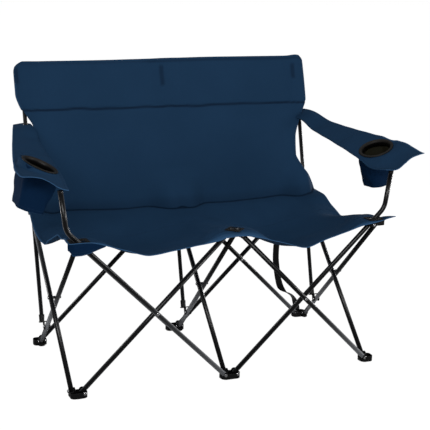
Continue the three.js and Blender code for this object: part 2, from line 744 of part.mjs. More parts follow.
// Half the back's width from the seat seam to the top edge, by share of its height.
const backHalfWidth = widthLine(backAlongShares, backWidthShares);

// How far the back's front and rear faces stand off the plane of the posts.
function backFaces(x, height) {
  const postXs = Object.values(columns).map((side) => side * columnPitch + postSidewaysOffset);
  const fromPost = Math.min(...postXs.map((postX) => Math.abs(x - postX)));
  const bulge = 1 - smooth(fromPost, pocketHalfWidth / 2, pocketHalfWidth * 2);
  const clear = postRadius + fit;
  const inBand = height > bandBottomHeight;
  const front = inBand ? clear + pocketCloth - bandPinch * (1 - bulge) : clear + clothThickness;
  const rear = inBand ? clear + pocketCloth - bandPinch * rearPinchShare * (1 - bulge) : -clear;
  return { front, rear };
}

// The back, from its seam with the seat, whose sag its lower edge follows, to the top of the band.
function backSheet() {
  const bottom = seatLevel + clothThickness / 2 + 2 * fit - (postRadius + fit) * Math.sin(postLean);
  const lines = backLineShares.length - 1;
  const geometry = new THREE.BoxGeometry(1, 1, 1, clothCells, lines, 1);
  const position = geometry.attributes.position;
  const normal = new THREE.Vector3(0, Math.cos(postLean), -Math.sin(postLean));
  for (let index = 0; index < position.count; index += 1) {
    const share = backLineShares[Math.round((position.getY(index) + 1 / 2) * lines)];
    const across = 2 * position.getX(index);
    const seamSag = seatLevel - seatPoint(across, seatRearLine).z;
    const height = THREE.MathUtils.lerp(bottom - seamSag, backTopHeight, share);
    const x = across * backHalfWidth(share);
    const faces = backFaces(x, height);
    const away = position.getZ(index) > 0 ? -faces.front : faces.rear;
    const spot = postPoint("centre", height).addScaledVector(normal, away);
    position.setXYZ(index, x, spot.y, spot.z);
  }
  const posts = Object.keys(columns).map((column) =>
    barBetween(
      postPoint(column, bottom - postDiameter),
      postPoint(column, postTopHeight + overrun),
      postRadius + fit,
      tubeSides,
    ),
  );
  place("back_sheet", cut(solid(geometry), posts), navyCloth);
}

// The arm's cloth, flat and tilted round its cup ring, resting on the cap of its post in front and
// rising to the back post behind.
const armInnerX = widthLine(armAlongShares, armInnerShares);
const armOuterX = widthLine(armAlongShares, armOuterShares);
const ringX = columnPitch + ringPastColumn;
const ringY = ringBehindFront - halfRow;
const ringZ = armPlaneHeight();
const armFrontLine = -halfRow - armFrontReach;
const armClimb = armPitchSlopeShare * (postPoint("centre", ringZ).y - ringY);
const armRearLine = postPoint("centre", ringZ + armClimb).y + armPastPost;

// The height of the arm's plane at its ring, so that the cloth clears the cap of either arm post.
function armPlaneHeight() {
  const { knots, lean } = armLegKnots(rowLeg("front", 0, false));
  const capTop = knots[knots.length - 1].clone().addScaledVector(lean, capHeight);
  const steepest = Math.hypot(armRollSlopeShare, armPitchSlopeShare);
  const overEdge = capRadius * (steepest + Math.sin(armLean));
  const underside = (clothThickness / 2) * Math.hypot(1, steepest);
  const toRing = armRollSlopeShare * (ringX + capTop.x) + armPitchSlopeShare * (ringY - capTop.y);
  return capTop.z + overEdge + underside + armOverCap + armTipDroop + toRing;
}

function armPoint(side, across, y) {
  const along = (y - armFrontLine) / (armRearLine - armFrontLine);
  const out = THREE.MathUtils.lerp(armInnerX(along), armOuterX(along), across);
  const rear = Math.max(0, (y - armRiseStart) / (armRearLine - armRiseStart));
  const droop = armTipDroop * (1 - smooth(y, armFrontLine, armFrontLine + armTipLength));
  const plane = ringZ + armRollSlopeShare * (out - ringX) + armPitchSlopeShare * (y - ringY);
  return new THREE.Vector3(side * out, y, plane + armRearRise * rear ** 2 - droop);
}

function armPanel(side, fromY, toY, alongSteps) {
  const surface = (u, v) => armPoint(side, side > 0 ? u : 1 - u, THREE.MathUtils.lerp(fromY, toY, v));
  return clothOver(surface, armCells, alongSteps, clothThickness);
}

// Turns what is drawn upright at the origin onto the arm's plane at the cup ring.
function ontoArm(side, body, lift) {
  const normal = new THREE.Vector3(-side * armRollSlopeShare, -armPitchSlopeShare, 1).normalize();
  const turn = new THREE.Quaternion().setFromUnitVectors(new THREE.Vector3(0, 0, 1), normal);
  const spot = new THREE.Vector3(side * ringX, ringY, ringZ).addScaledVector(normal, lift);
  const matrix = new THREE.Matrix4().compose(spot, turn, new THREE.Vector3(1, 1, 1));
  return body.transform(matrix.elements);
}

function lathe(points, segments) {
  const profile = points.map(([radius, height]) => new THREE.Vector2(radius, height));
  return solid(new THREE.LatheGeometry(profile, segments).rotateX(Math.PI / 2));
}

function arm(name, side) {
  const half = clothThickness / 2;
  const column = side < 0 ? "left" : "right";
  const hole = lathe(
    [
      [0, -ringNeckDepth],
      [ringNeckRadius + fit, -ringNeckDepth],
      [ringNeckRadius + fit, ringNeckDepth],
      [0, ringNeckDepth],
    ],
    ringSides,
  );
  const frontPanel = armPanel(side, armFrontLine, armFoldLine - foldSlit, armFrontCells);
  const front = cut(frontPanel, [ontoArm(side, hole, 0)]);
  const sleeve = barBetween(
    postPoint(column, ringZ),
    postPoint(column, bandBottomHeight),
    postRadius + fit,
    tubeSides,
  );
  const rear = cut(armPanel(side, armFoldLine + foldSlit, armRearLine, armRearCells), [sleeve]);
  place(`arm_front_panel_${name}`, front, navyCloth);
  place(`arm_rear_panel_${name}`, rear, navyCloth);

  const flangeLift = half + fit;
  const ring = lathe(
    [
      [ringBore, -ringNeckDepth],
      [ringNeckRadius, -ringNeckDepth],
      [ringNeckRadius, 0],
      [ringRadius, 0],
      [ringRadius - ringFlange / 4, ringFlange * 0.6],
      [ringRadius - ringFlange, ringFlange],
      [ringBore + ringFlange / 2, ringFlange],
      [ringBore, ringFlange / 2],
      [ringBore, -ringNeckDepth],
    ],
    ringSides,
  );
  place(`cup_ring_${name}`, ontoArm(side, ring, flangeLift), ringPlastic);
  place(`cup_pouch_${name}`, ontoArm(side, pouch(), -half - fit), navyCloth);
}

// The hanging pouch of a cup holder: a tapered bag with open top, drawn below the origin.
function pouch() {
  const bagLoft = (inset, top, floor) => {
    const geometry = new THREE.BoxGeometry(1, 1, 1, 4, 4, 2);
    const position = geometry.attributes.position;
    for (let index = 0; index < position.count; index += 1) {
      const down = 0.5 - position.getZ(index);
      const width = THREE.MathUtils.lerp(pouchTopWidth, pouchBottomWidth, down) / 2 - inset;
      const length = THREE.MathUtils.lerp(pouchTopLength, pouchBottomLength, down) / 2 - inset;
      const u = position.getX(index) * 2;
      const v = position.getY(index) * 2;
      const pull = pouchCorner * Math.abs(u * v) ** 3;
      const x = u * width - Math.sign(u) * pull;
      const y = v * length - Math.sign(v) * pull;
      position.setXYZ(index, x, y, THREE.MathUtils.lerp(top, floor, down));
    }
    return solid(geometry);
  };
  const outer = bagLoft(0, 0, -pouchDepth);
  const inner = bagLoft(pouchWall, overrun, -pouchDepth + pouchWall);
  const rim = ringNeckDepth + fit * 2;
  const neck = lathe(
    [
      [0, -rim],
      [ringNeckRadius + fit, -rim],
      [ringNeckRadius + fit, overrun],
      [0, overrun],
    ],
    ringSides,
  );
  return cut(outer, [inner, neck]);
}

// Trim on the seat's front edge: a plate on each front hub, and the oval button of the middle one.
function patchPlate(width, length) {
  const shape = roundedPlate(-width / 2, width / 2, -length / 2, length / 2, patchCorner);
  return extrudedUp(shape, 0, patchThickness);
}

function seatTrim(slots) {
  const level = seatLevel + clothThickness / 2 + fit;
  const patchY = -halfRow;
  const centre = patchPlate(patchWidth, patchLength).rotate([0, 0, 45]);
  place("seat_patch_centre", centre.translate([0, patchY, level]), blackWebbing);
  const oval = new THREE.CylinderGeometry(1, 1.1, 1, 16).rotateX(Math.PI / 2);
  oval.scale(buttonLength / 2, buttonWidth / 2, buttonHeight);
  const buttonLift = patchThickness + fit + buttonHeight / 2;
  place("seat_button_centre", solid(moved(oval, 0, patchY, level + buttonLift)), blackPlastic);
  ["left", "right"].forEach((column, index) => {
    const x = columns[column] * (columnPitch - rowPivotInset / 2);
    const plate = patchPlate(cornerPatchWidth, patchLength).translate([x, patchY, level]);
    place(`seat_patch_${column}`, cut(plate, [slots[index]]), blackWebbing);
  });
}

// The carry strap, sewn under the seat's rear edge and hanging slack to the rear right foot.
function strap() {
  const under = seatLevel - clothThickness - strapThickness;
  const sewnX = columnPitch - hubFlatRadius + strapWidth / 2;
  const behind = halfRow + strapStandOff;
  const footX = columnPitch - rimMargin;
  const top = [
    new THREE.Vector3(sewnX, seatRearLine - strapWidth, under),
    new THREE.Vector3(sewnX, seatRearLine, under),
    new THREE.Vector3(sewnX - strapWidth / 4, behind, under - strapWidth / 2),
  ];
  const drop = under - strapWidth - footPivotHeight;
  const hanging = strapDownShares.map((downShare, index) => {
    const x = THREE.MathUtils.lerp(sewnX, footX, downShare) - strapSlack * strapInwardShares[index];
    return new THREE.Vector3(x, behind + strapThickness, under - strapWidth / 2 - drop * downShare);
  });
  const onFoot = halfRow + rowPlaneOffset + tubeRadius + bayPlay + cheekThickness + fit + strapThickness / 2;
  const last = [
    new THREE.Vector3(footX, onFoot, footPivotHeight + cheekRadius),
    new THREE.Vector3(footX, onFoot, footPivotHeight - strapWidth / 2),
  ];
  const curve = new THREE.CatmullRomCurve3([...top, ...hanging, ...last], false, "centripetal");
  const surface = (u, v) => {
    const turn = Math.PI * 0.5 * smooth(v, 0, 0.18) * (1 - smooth(v, 0.7, 0.92));
    const across = new THREE.Vector3(Math.cos(turn * strapTwistShare), 0, Math.sin(turn * strapTwistShare));
    return curve.getPoint(THREE.MathUtils.clamp(v, 0, 1)).addScaledVector(across, (u - 0.5) * strapWidth);
  };
  place("carry_strap", clothOver(surface, 1, strapSteps, strapThickness), blackWebbing);
}

function frame() {
  Object.keys(rows).forEach((row) => {
    [
      ["left", 0],
      ["right", 1],
    ].forEach(([bayName, bayIndex]) => {
      const rising = rowLeg(row, bayIndex, true);
      const falling = rowLeg(row, bayIndex, false);
      const outward = row === "front" && bayName === "left" ? falling : rising;
      const carriesArm = row === "front";
      [
        ["rising", rising],
        ["falling", falling],
      ].forEach(([way, legPlace]) => {
        const name = `leg_${row}_${bayName}_${way}`;
        if (carriesArm && legPlace === outward) armLeg(name, legPlace, `arm_post_cap_${bayName}`);
        else leg(name, legPlace, false);
      });
      crossingRivet(`rivet_${row}_${bayName}`, rising, rowPlaneOffset);
    });
  });
  Object.keys(columns).forEach((column) => {
    const fromFront = sideLeg(column, "front");
    const fromRear = sideLeg(column, "rear");
    leg(`leg_side_${column}_from_front`, fromFront, false);
    leg(`leg_side_${column}_from_rear`, fromRear, true);
    crossingRivet(`rivet_side_${column}`, fromRear, sidePlaneOffset);
    backPost(column);
    Object.keys(rows).forEach((row) => {
      foot(row, column);
      hub(row, column);
    });
  });
}

frame();
const armTubeSlots = seat();
backSheet();
arm("left", -1);
arm("right", 1);
seatTrim(armTubeSlots);
strap();

// The part stands on z = 0 with its origin under the middle of its bounding box.
const box = new THREE.Box3().setFromObject(loveseat);
const middle = box.getCenter(new THREE.Vector3());
loveseat.children.forEach((mesh) => mesh.geometry.translate(-middle.x, -middle.y, 0));

export default loveseat;
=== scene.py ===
import math

import bmesh
import bpy
import numpy as np
from mathutils import Matrix, Vector, noise


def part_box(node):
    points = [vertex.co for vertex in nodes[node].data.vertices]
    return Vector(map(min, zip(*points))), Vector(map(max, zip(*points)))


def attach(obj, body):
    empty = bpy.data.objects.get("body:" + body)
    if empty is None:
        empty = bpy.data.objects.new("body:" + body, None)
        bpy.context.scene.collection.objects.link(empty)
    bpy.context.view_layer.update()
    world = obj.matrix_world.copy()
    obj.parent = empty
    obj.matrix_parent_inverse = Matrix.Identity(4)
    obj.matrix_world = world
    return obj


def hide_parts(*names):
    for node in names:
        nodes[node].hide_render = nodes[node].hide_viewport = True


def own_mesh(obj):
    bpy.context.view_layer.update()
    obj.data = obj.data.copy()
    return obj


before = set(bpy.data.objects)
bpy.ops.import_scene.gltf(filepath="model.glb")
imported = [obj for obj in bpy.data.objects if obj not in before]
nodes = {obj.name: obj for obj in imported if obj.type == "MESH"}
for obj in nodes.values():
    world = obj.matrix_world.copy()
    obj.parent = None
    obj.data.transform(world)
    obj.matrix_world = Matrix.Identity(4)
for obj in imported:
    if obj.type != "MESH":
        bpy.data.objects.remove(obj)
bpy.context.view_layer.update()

# The loveseat's own dimensions, in millimetres from the middle of its six feet; the arm posts' lean is
# in degrees, and the arms' roll and pitch are slopes. An inset is from a column or row of feet to a leg's
# pivot, and an offset from the middle of two crossed legs to each of them.
PITCH = 524
HALF_ROW = 260
FOOT_PIVOT = 15
HUB_PIVOT = 487
ROW_INSET = 22
SIDE_INSET = 20
ROW_OFFSET = 9
SIDE_OFFSET = 12
TUBE_RADIUS = 8
POST_RADIUS = 7
TUBE_PAST_PIVOT = 7
POST_TOP = 963
ARM_POST_TOP = 657
ARM_POST_LEAN = 7.5
ARM_BEND_SHARE = 0.353
ARM_RUN_SHARE = 0.3
IN_CLOTH = 6
CLOTH = 2.0
GAP = 0.3
SEAT_LEVEL = 502.5
SEAT_FRONT = -290
SEAT_REAR = 258
SEAT_FOLD = 62
POST_SIDEWAYS = -3.3
CLIP_UP_LEG = 117
POST_BELOW_CLIP = 20
POST_BEHIND_HUB = 2
BAND_BOTTOM = 817
BACK_TOP = 981
RING = Vector((591, -111, 711.9))
ARM_ROLL = 0.414
ARM_PITCH = 0.17
ARM_FRONT, ARM_REAR, ARM_FOLD = -283, 359.7, 40

# The side rivets sit in the middle between the rows, so they show how far the frame's origin is from it
low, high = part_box("rivet_side_left")
SHIFT = (low.y + high.y) / 2
RISE = HUB_PIVOT - FOOT_PIVOT
SPAN = PITCH - 2 * ROW_INSET
REST = math.atan2(RISE, SPAN)
CLIP_Y = HALF_ROW - SIDE_INSET - CLIP_UP_LEG * math.cos(REST)
CLIP_Z = FOOT_PIVOT + CLIP_UP_LEG * math.sin(REST)
LEAN = math.atan2(HALF_ROW + POST_BEHIND_HUB - CLIP_Y, HUB_PIVOT - CLIP_Z)
POST_RUN = Vector((0, math.sin(LEAN), math.cos(LEAN)))
COLUMNS = {"left": -1, "centre": 0, "right": 1}
ROWS = {"front": -1, "rear": 1}
SIDES = (("left", -1), ("right", 1))


def place(point):
    """From millimetres between the feet to metres in the CAD frame."""
    return Vector((point[0] / 1000, point[1] / 1000 + SHIFT, point[2] / 1000))


def smooth(value, start, end):
    """0 up to start and 1 from end on, with a smooth step between."""
    share = min(max((value - start) / (end - start), 0), 1)
    return share * share * (3 - 2 * share)


def mix(first, second, share):
    """First at a share of 0, second at a share of 1."""
    return first + (second - first) * share


def line_through(*points):
    """A smooth curve through the points, as a function of x, with no overshoot between them."""
    xs = np.array([p[0] for p in points], float)
    ys = np.array([p[1] for p in points], float)
    rises = np.diff(ys) / np.diff(xs)
    slopes = np.zeros(len(xs))
    for index in range(1, len(xs) - 1):
        before, after = rises[index - 1], rises[index]
        if before * after > 0:
            slopes[index] = 2 * before * after / (before + after)
    slopes[0], slopes[-1] = rises[0], rises[-1]

    def value(x):
        x = min(max(x, xs[0]), xs[-1])
        index = min(max(int(np.searchsorted(xs, x)) - 1, 0), len(xs) - 2)
        step = xs[index + 1] - xs[index]
        t = (x - xs[index]) / step
        rise = 3 * t * t - 2 * t**3
        return (
            ys[index] * (1 - rise)
            + ys[index + 1] * rise
            + step * (t**3 - 2 * t * t + t) * slopes[index]
            + step * (t**3 - t * t) * slopes[index + 1]
        )

    return value


# Camera, fitted to the photo: its turns in degrees, its place, and in pixels its focal length and middle
PHOTO_SIZE = 430
PHOTO_MIDDLE = (191.33, 287.75)
FOCAL_LENGTH = 1079.69
CAMERA_TURNS = (-21.95, 16.81, 1.18)
CAMERA_SPOT = (-1372.6, -3308.9, 1316.4)
SENSOR = 36


def photo_camera():
    azimuth, elevation, roll = (math.radians(turn) for turn in CAMERA_TURNS)
    back = Vector(
        (
            math.sin(azimuth) * math.cos(elevation),
            -math.cos(azimuth) * math.cos(elevation),
            math.sin(elevation),
        )
    )
    level = Vector((math.cos(azimuth), math.sin(azimuth), 0))
    upright = level.cross(-back)
    right = level * math.cos(roll) + upright * math.sin(roll)
    up = upright * math.cos(roll) - level * math.sin(roll)
    data = bpy.data.cameras.new("photo_camera")
    camera = bpy.data.objects.new("photo_camera", data)
    bpy.context.scene.collection.objects.link(camera)
    turn = Matrix((right, up, back)).transposed().to_4x4()
    camera.matrix_world = Matrix.Translation(place(CAMERA_SPOT)) @ turn
    data.sensor_width = SENSOR
    data.lens = FOCAL_LENGTH / PHOTO_SIZE * SENSOR
    data.shift_x = 0.5 - PHOTO_MIDDLE[0] / PHOTO_SIZE
    data.shift_y = PHOTO_MIDDLE[1] / PHOTO_SIZE - 0.5
    data.clip_end = 50
    bpy.context.scene.camera = camera


photo_camera()


# Finishes


def colour(red, green, blue):
    """A colour as the photo's pixels hold it, in linear light."""

    def linear(channel):
        share = channel / 255
        return share / 12.92 if share <= 0.04045 else ((share + 0.055) / 1.055) ** 2.4

    return (linear(red), linear(green), linear(blue), 1)


def new_group(name, inputs, outputs):
    group = bpy.data.node_groups.new(name, "ShaderNodeTree")
    for label, kind, default in inputs:
        socket = group.interface.new_socket(label, in_out="INPUT", socket_type=kind)
        if default is not None:
            socket.default_value = default
    for label, kind in outputs:
        group.interface.new_socket(label, in_out="OUTPUT", socket_type=kind)
    entry = group.nodes.new("NodeGroupInput")
    leave = group.nodes.new("NodeGroupOutput")
    return group, entry, leave


def maths(tree, operation, first, second=None, clamp=False):
    node = tree.nodes.new("ShaderNodeMath")
    node.operation = operation
    node.use_clamp = clamp
    for socket, value in zip(node.inputs, (first, second)):
        if value is None:
            continue
        if isinstance(value, (int, float)):
            socket.default_value = value
        else:
            tree.links.new(value, socket)
    return node.outputs[0]


def blend_colour(tree, share, first, second):
    node = tree.nodes.new("ShaderNodeMix")
    node.data_type = "RGBA"
    for socket, value in zip((node.inputs[0], node.inputs[6], node.inputs[7]), (share, first, second)):
        if isinstance(value, (int, float, tuple)):
            socket.default_value = value
        else:
            tree.links.new(value, socket)
    return node.outputs[2]


def set_inputs(node, values):
    for label, value in values.items():
        node.inputs[label].default_value = value


def attribute(tree, name):
    node = tree.nodes.new("ShaderNodeAttribute")
    node.attribute_name = name
    return node.outputs["Fac"]


def cloudy(tree, where, scale, detail, stretch=(1, 1, 1)):
    """Soft noise, which can be stretched along an axis."""
    spread = tree.nodes.new("ShaderNodeMapping")
    spread.inputs["Scale"].default_value = stretch
    tree.links.new(where, spread.inputs[0])
    clouds = tree.nodes.new("ShaderNodeTexNoise")
    set_inputs(clouds, {"Scale": scale, "Detail": detail})
    tree.links.new(spread.outputs[0], clouds.inputs[0])
    return clouds.outputs[0]


def weave_group():
    """Plain weave: crossing threads at a given count per metre, with slubs."""
    group, entry, leave = new_group(
        "plain_weave",
        [("Threads", "NodeSocketFloat", 900.0), ("Slub", "NodeSocketFloat", 0.3)],
        [("Height", "NodeSocketFloat"), ("Tone", "NodeSocketFloat")],
    )
    uv = group.nodes.new("ShaderNodeUVMap")
    split = group.nodes.new("ShaderNodeSeparateXYZ")
    group.links.new(uv.outputs[0], split.inputs[0])
    turns = maths(group, "MULTIPLY", entry.outputs["Threads"], math.pi)
    across = maths(group, "SINE", maths(group, "MULTIPLY", split.outputs[0], turns))
    along = maths(group, "SINE", maths(group, "MULTIPLY", split.outputs[1], turns))
    over = maths(group, "MULTIPLY", across, along)
    warp = cloudy(group, uv.outputs[0], 260, 3, (1, 0.2, 1))
    weft = cloudy(group, uv.outputs[0], 260, 3, (0.2, 1, 1))
    slubs = maths(group, "MULTIPLY", maths(group, "ADD", warp, weft), 0.5)
    uneven = maths(group, "MULTIPLY", slubs, entry.outputs["Slub"])
    for label, amount in (("Height", 0.5), ("Tone", 0.12)):
        level = maths(group, "ADD", maths(group, "MULTIPLY", over, amount), uneven)
        group.links.new(level, leave.inputs[label])
    return group


def fading(tree, distance, width):
    """1 at no distance, falling to 0 at the width."""
    return maths(tree, "SUBTRACT", 1, maths(tree, "DIVIDE", distance, width), clamp=True)


# Widths on a hem, in metres: a stitch thread, the groove's painted shade, the fold's painted highlight and
# the puckers
THREAD_WIDTH, GROOVE_SHADE_WIDTH, FOLD_HIGHLIGHT_WIDTH, PUCKER_WIDTH = 0.0007, 0.003, 0.0045, 0.03


def stitch_group():
    """A turned hem with two rows of stitches, from the distance to the cloth's edge, with masks for a painted
    highlight along its fold and painted shade in its groove.
    """
    group, entry, leave = new_group(
        "hem_stitching",
        [("Inset", "NodeSocketFloat", 0.011), ("Stitch", "NodeSocketFloat", 0.0035)],
        [(label, "NodeSocketFloat") for label in ("Thread", "FoldHighlight", "GrooveShade", "Height")],
    )
    edge = attribute(group, "edge")
    uv = group.nodes.new("ShaderNodeUVMap")
    split = group.nodes.new("ShaderNodeSeparateXYZ")
    group.links.new(uv.outputs[0], split.inputs[0])
    both_ways = maths(group, "ADD", split.outputs[0], split.outputs[1])
    run = maths(group, "DIVIDE", both_ways, entry.outputs["Stitch"])
    turns = maths(group, "MULTIPLY", run, 2 * math.pi)
    dash = maths(group, "GREATER_THAN", maths(group, "SINE", turns), -0.5)
    rows = []
    for share in (1.0, 0.35):
        line = maths(group, "MULTIPLY", entry.outputs["Inset"], share)
        off = maths(group, "ABSOLUTE", maths(group, "SUBTRACT", edge, line))
        rows.append(fading(group, off, THREAD_WIDTH))
    thread = maths(group, "MULTIPLY", maths(group, "MAXIMUM", rows[0], rows[1]), dash)
    # A painted highlight along the folded edge of the hem
    fold_highlight = fading(group, edge, FOLD_HIGHLIGHT_WIDTH)
    # Painted shade along the groove at the inner stitch line
    from_line = maths(group, "ABSOLUTE", maths(group, "SUBTRACT", edge, entry.outputs["Inset"]))
    groove = fading(group, from_line, GROOVE_SHADE_WIDTH)
    hem = maths(group, "LESS_THAN", edge, entry.outputs["Inset"])
    puckers = maths(group, "MULTIPLY", cloudy(group, uv.outputs[0], 90, 2), fading(group, edge, PUCKER_WIDTH))
    raised = maths(group, "ADD", maths(group, "MULTIPLY", puckers, 1.4), maths(group, "MULTIPLY", hem, 0.9))
    for label, value in (("Thread", thread), ("FoldHighlight", fold_highlight), ("GrooveShade", groove), ("Height", raised)):
        group.links.new(value, leave.inputs[label])
    return group


def wear_group():
    """Fine grain and faint rubbing on a hard surface."""
    group, entry, leave = new_group(
        "surface_grain",
        [("Scale", "NodeSocketFloat", 600.0), ("Rub", "NodeSocketFloat", 0.5)],
        [("Height", "NodeSocketFloat"), ("Rubbed", "NodeSocketFloat")],
    )
    where = group.nodes.new("ShaderNodeTexCoord")
    grain = group.nodes.new("ShaderNodeTexNoise")
    grain.inputs["Detail"].default_value = 2
    group.links.new(where.outputs["Object"], grain.inputs[0])
    group.links.new(entry.outputs["Scale"], grain.inputs["Scale"])
    patches = cloudy(group, where.outputs["Object"], 14, 5)
    rubbed = maths(group, "SUBTRACT", patches, 0.45, clamp=True)
    group.links.new(grain.outputs[0], leave.inputs["Height"])
    group.links.new(maths(group, "MULTIPLY", rubbed, entry.outputs["Rub"]), leave.inputs["Rubbed"])
    return group


WEAVE = weave_group()
STITCH = stitch_group()
GRAIN = wear_group()


def start_material(name):
    material = bpy.data.materials.new(name)
    material.use_nodes = True
    tree = material.node_tree
    return material, tree, tree.nodes["Principled BSDF"]


def use_group(tree, group, values):
    node = tree.nodes.new("ShaderNodeGroup")
    node.node_tree = group
    set_inputs(node, values)
    return node


def bump(tree, shader, height, distance, strength):
    node = tree.nodes.new("ShaderNodeBump")
    set_inputs(node, {"Distance": distance, "Strength": strength})
    tree.links.new(height, node.inputs["Height"])
    tree.links.new(node.outputs[0], shader.inputs["Normal"])


def navy_cloth(name, deep, pale):
    """Coated navy polyester, a little lighter along its folded hems as a painted highlight, with painted
    shade in the hems' grooves, and dark as painted shade where its painted_shade attribute says, in creases
    and along seams.
    """
    material, tree, shader = start_material(name)
    weave = use_group(tree, WEAVE, {"Threads": 900, "Slub": 0.35})
    stitch = use_group(tree, STITCH, {})
    where = tree.nodes.new("ShaderNodeTexCoord")
    clouds = cloudy(tree, where.outputs["Object"], 5, 4)
    threads = maths(tree, "MULTIPLY", weave.outputs["Tone"], 0.9)
    tone = maths(tree, "ADD", threads, maths(tree, "MULTIPLY", clouds, 0.5), clamp=True)
    body = blend_colour(tree, tone, deep, pale)
    # The stitches' thread tint, painted shade in the hem's groove and a painted highlight along its fold
    for line, amount, tint in (
        ("GrooveShade", 0.3, colour(8, 22, 40)),
        ("Thread", 0.35, colour(44, 70, 100)),
        ("FoldHighlight", 0.6, colour(52, 86, 122)),
    ):
        body = blend_colour(tree, maths(tree, "MULTIPLY", stitch.outputs[line], amount), body, tint)
    # Painted shade from the cloth's painted_shade attribute, in creases, along seams and at the foot of the
    # back
    body = blend_colour(tree, attribute(tree, "painted_shade"), body, colour(8, 20, 36))
    tree.links.new(body, shader.inputs["Base Color"])
    rough = maths(tree, "ADD", 0.78, maths(tree, "MULTIPLY", weave.outputs["Tone"], 0.2))
    tree.links.new(rough, shader.inputs["Roughness"])
    sheen = {"Sheen Weight": 0.01, "Sheen Roughness": 0.5, "Sheen Tint": (0.15, 0.4, 0.8, 1)}
    set_inputs(shader, sheen | {"Specular IOR Level": 0.03})
    sunk = maths(tree, "MULTIPLY", stitch.outputs["Thread"], 2)
    sewn = maths(tree, "SUBTRACT", maths(tree, "MULTIPLY", stitch.outputs["Height"], 3), sunk)
    bump(tree, shader, maths(tree, "ADD", weave.outputs["Height"], sewn), 0.00012, 0.7)
    return material


def black_webbing():
    """Ribbed black webbing."""
    material, tree, shader = start_material("black_webbing")
    weave = use_group(tree, WEAVE, {"Threads": 420, "Slub": 0.35})
    body = blend_colour(tree, weave.outputs["Tone"], colour(8, 8, 9), colour(24, 23, 23))
    tree.links.new(body, shader.inputs["Base Color"])
    set_inputs(shader, {"Roughness": 0.8, "Specular IOR Level": 0.2})
    bump(tree, shader, weave.outputs["Height"], 0.0003, 0.8)
    return material


def hard_material(
    name, base, rubbed_tone, rough, grain, depth, metallic=0.0, level=0.5, rub=0.6, painted_edge_reflection=None
):
    """A hard surface with fine grain; painted_edge_reflection is a paler tone painted where it turns from the
    view, as a painted reflection.
    """
    material, tree, shader = start_material(name)
    wear = use_group(tree, GRAIN, {"Scale": grain, "Rub": rub})
    body = blend_colour(tree, wear.outputs["Rubbed"], base, rubbed_tone)
    # A painted reflection: paler where the surface turns from the view
    if painted_edge_reflection:
        weight = tree.nodes.new("ShaderNodeLayerWeight")
        body = blend_colour(tree, maths(tree, "POWER", weight.outputs["Facing"], 3), body, painted_edge_reflection)
    tree.links.new(body, shader.inputs["Base Color"])
    roughness = maths(tree, "ADD", rough, maths(tree, "MULTIPLY", wear.outputs["Rubbed"], 0.3))
    tree.links.new(roughness, shader.inputs["Roughness"])
    set_inputs(shader, {"Metallic": metallic, "Specular IOR Level": level})
    bump(tree, shader, wear.outputs["Height"], depth, 0.6)
    return material


NAVY = navy_cloth("navy_polyester", colour(18, 40, 62), colour(27, 52, 78))
# A darker copy of the navy, as painted shade, for the corner flap and the pouches that hang in the shade
# under the seat and arms; the pouches' cloth is also a little darker
SHADED_NAVY = navy_cloth("navy_polyester_painted_shade", colour(3, 22, 44), colour(9, 32, 58))
WEBBING = black_webbing()
# The powder coat's paler edges are a painted reflection
STEEL = hard_material(
    "black_powder_coat", colour(4, 4, 5), colour(12, 12, 13), 0.3, 900, 0.000002,
    level=0.3, rub=0.1, painted_edge_reflection=colour(135, 137, 141),
)
PLASTIC = hard_material("black_nylon", colour(5, 5, 6), colour(16, 16, 17), 0.32, 700, 0.00004, level=0.35)
RING_BLACK = hard_material(
    "dark_ring_plastic", colour(24, 22, 20), colour(40, 37, 33), 0.5, 500, 0.00006, level=0.2
)
LINING = hard_material(
    "pouch_lining", colour(30, 29, 21), colour(38, 36, 27), 0.85, 900, 0.0001, level=0.05
)
RIVET = hard_material(
    "bright_rivet", colour(206, 206, 208), colour(165, 165, 168), 0.25, 800, 0.00002, metallic=1.0
)


def dress(obj, material):
    obj.data.materials.clear()
    obj.data.materials.append(material)


def piece(name, bm, material, body, smooth_faces=True):
    """Turns a bmesh into a piece that rides on a body."""
    mesh = bpy.data.meshes.new(name)
    bm.to_mesh(mesh)
    bm.free()
    if smooth_faces:
        mesh.polygons.foreach_set("use_smooth", [True] * len(mesh.polygons))
    obj = bpy.data.objects.new(name, mesh)
    bpy.context.scene.collection.objects.link(obj)
    dress(obj, material)
    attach(obj, body)
    return obj


# Tubes


def tube(bm, points, radius, sides=28):
    """A round bar swept through points, closed at both ends."""
    points = [Vector(p) for p in points]
    tangents = []
    for index in range(len(points)):
        before = points[max(index - 1, 0)]
        after = points[min(index + 1, len(points) - 1)]
        tangents.append((after - before).normalized())
    side = tangents[0].orthogonal().normalized()
    ring = bmesh.ops.create_circle(bm, cap_ends=False, radius=radius, segments=sides)["verts"]
    shape = [v.co.copy() for v in ring]

    def lay(verts, station):
        nonlocal side
        point, tangent = station
        side = (side - tangent * side.dot(tangent)).normalized()
        turn = Matrix((side, tangent.cross(side), tangent)).transposed()
        for vert, flat in zip(verts, shape):
            vert.co = point + turn @ flat

    first, last = sweep(bm, ring, lay, list(zip(points, tangents)))
    bmesh.ops.holes_fill(bm, edges=first + last, sides=0)
    bmesh.ops.recalc_face_normals(bm, faces=bm.faces)


def sweep(bm, ring, lay, stations):
    """Lays a ring at the first station, extrudes it to all others, and gives back the edges of both ends."""
    lay(ring, stations[0])
    first = edges = list({edge for vert in ring for edge in vert.link_edges})
    for station in stations[1:]:
        ring, edges = grow_ring(bm, ring, edges)
        lay(ring, station)
    return first, edges


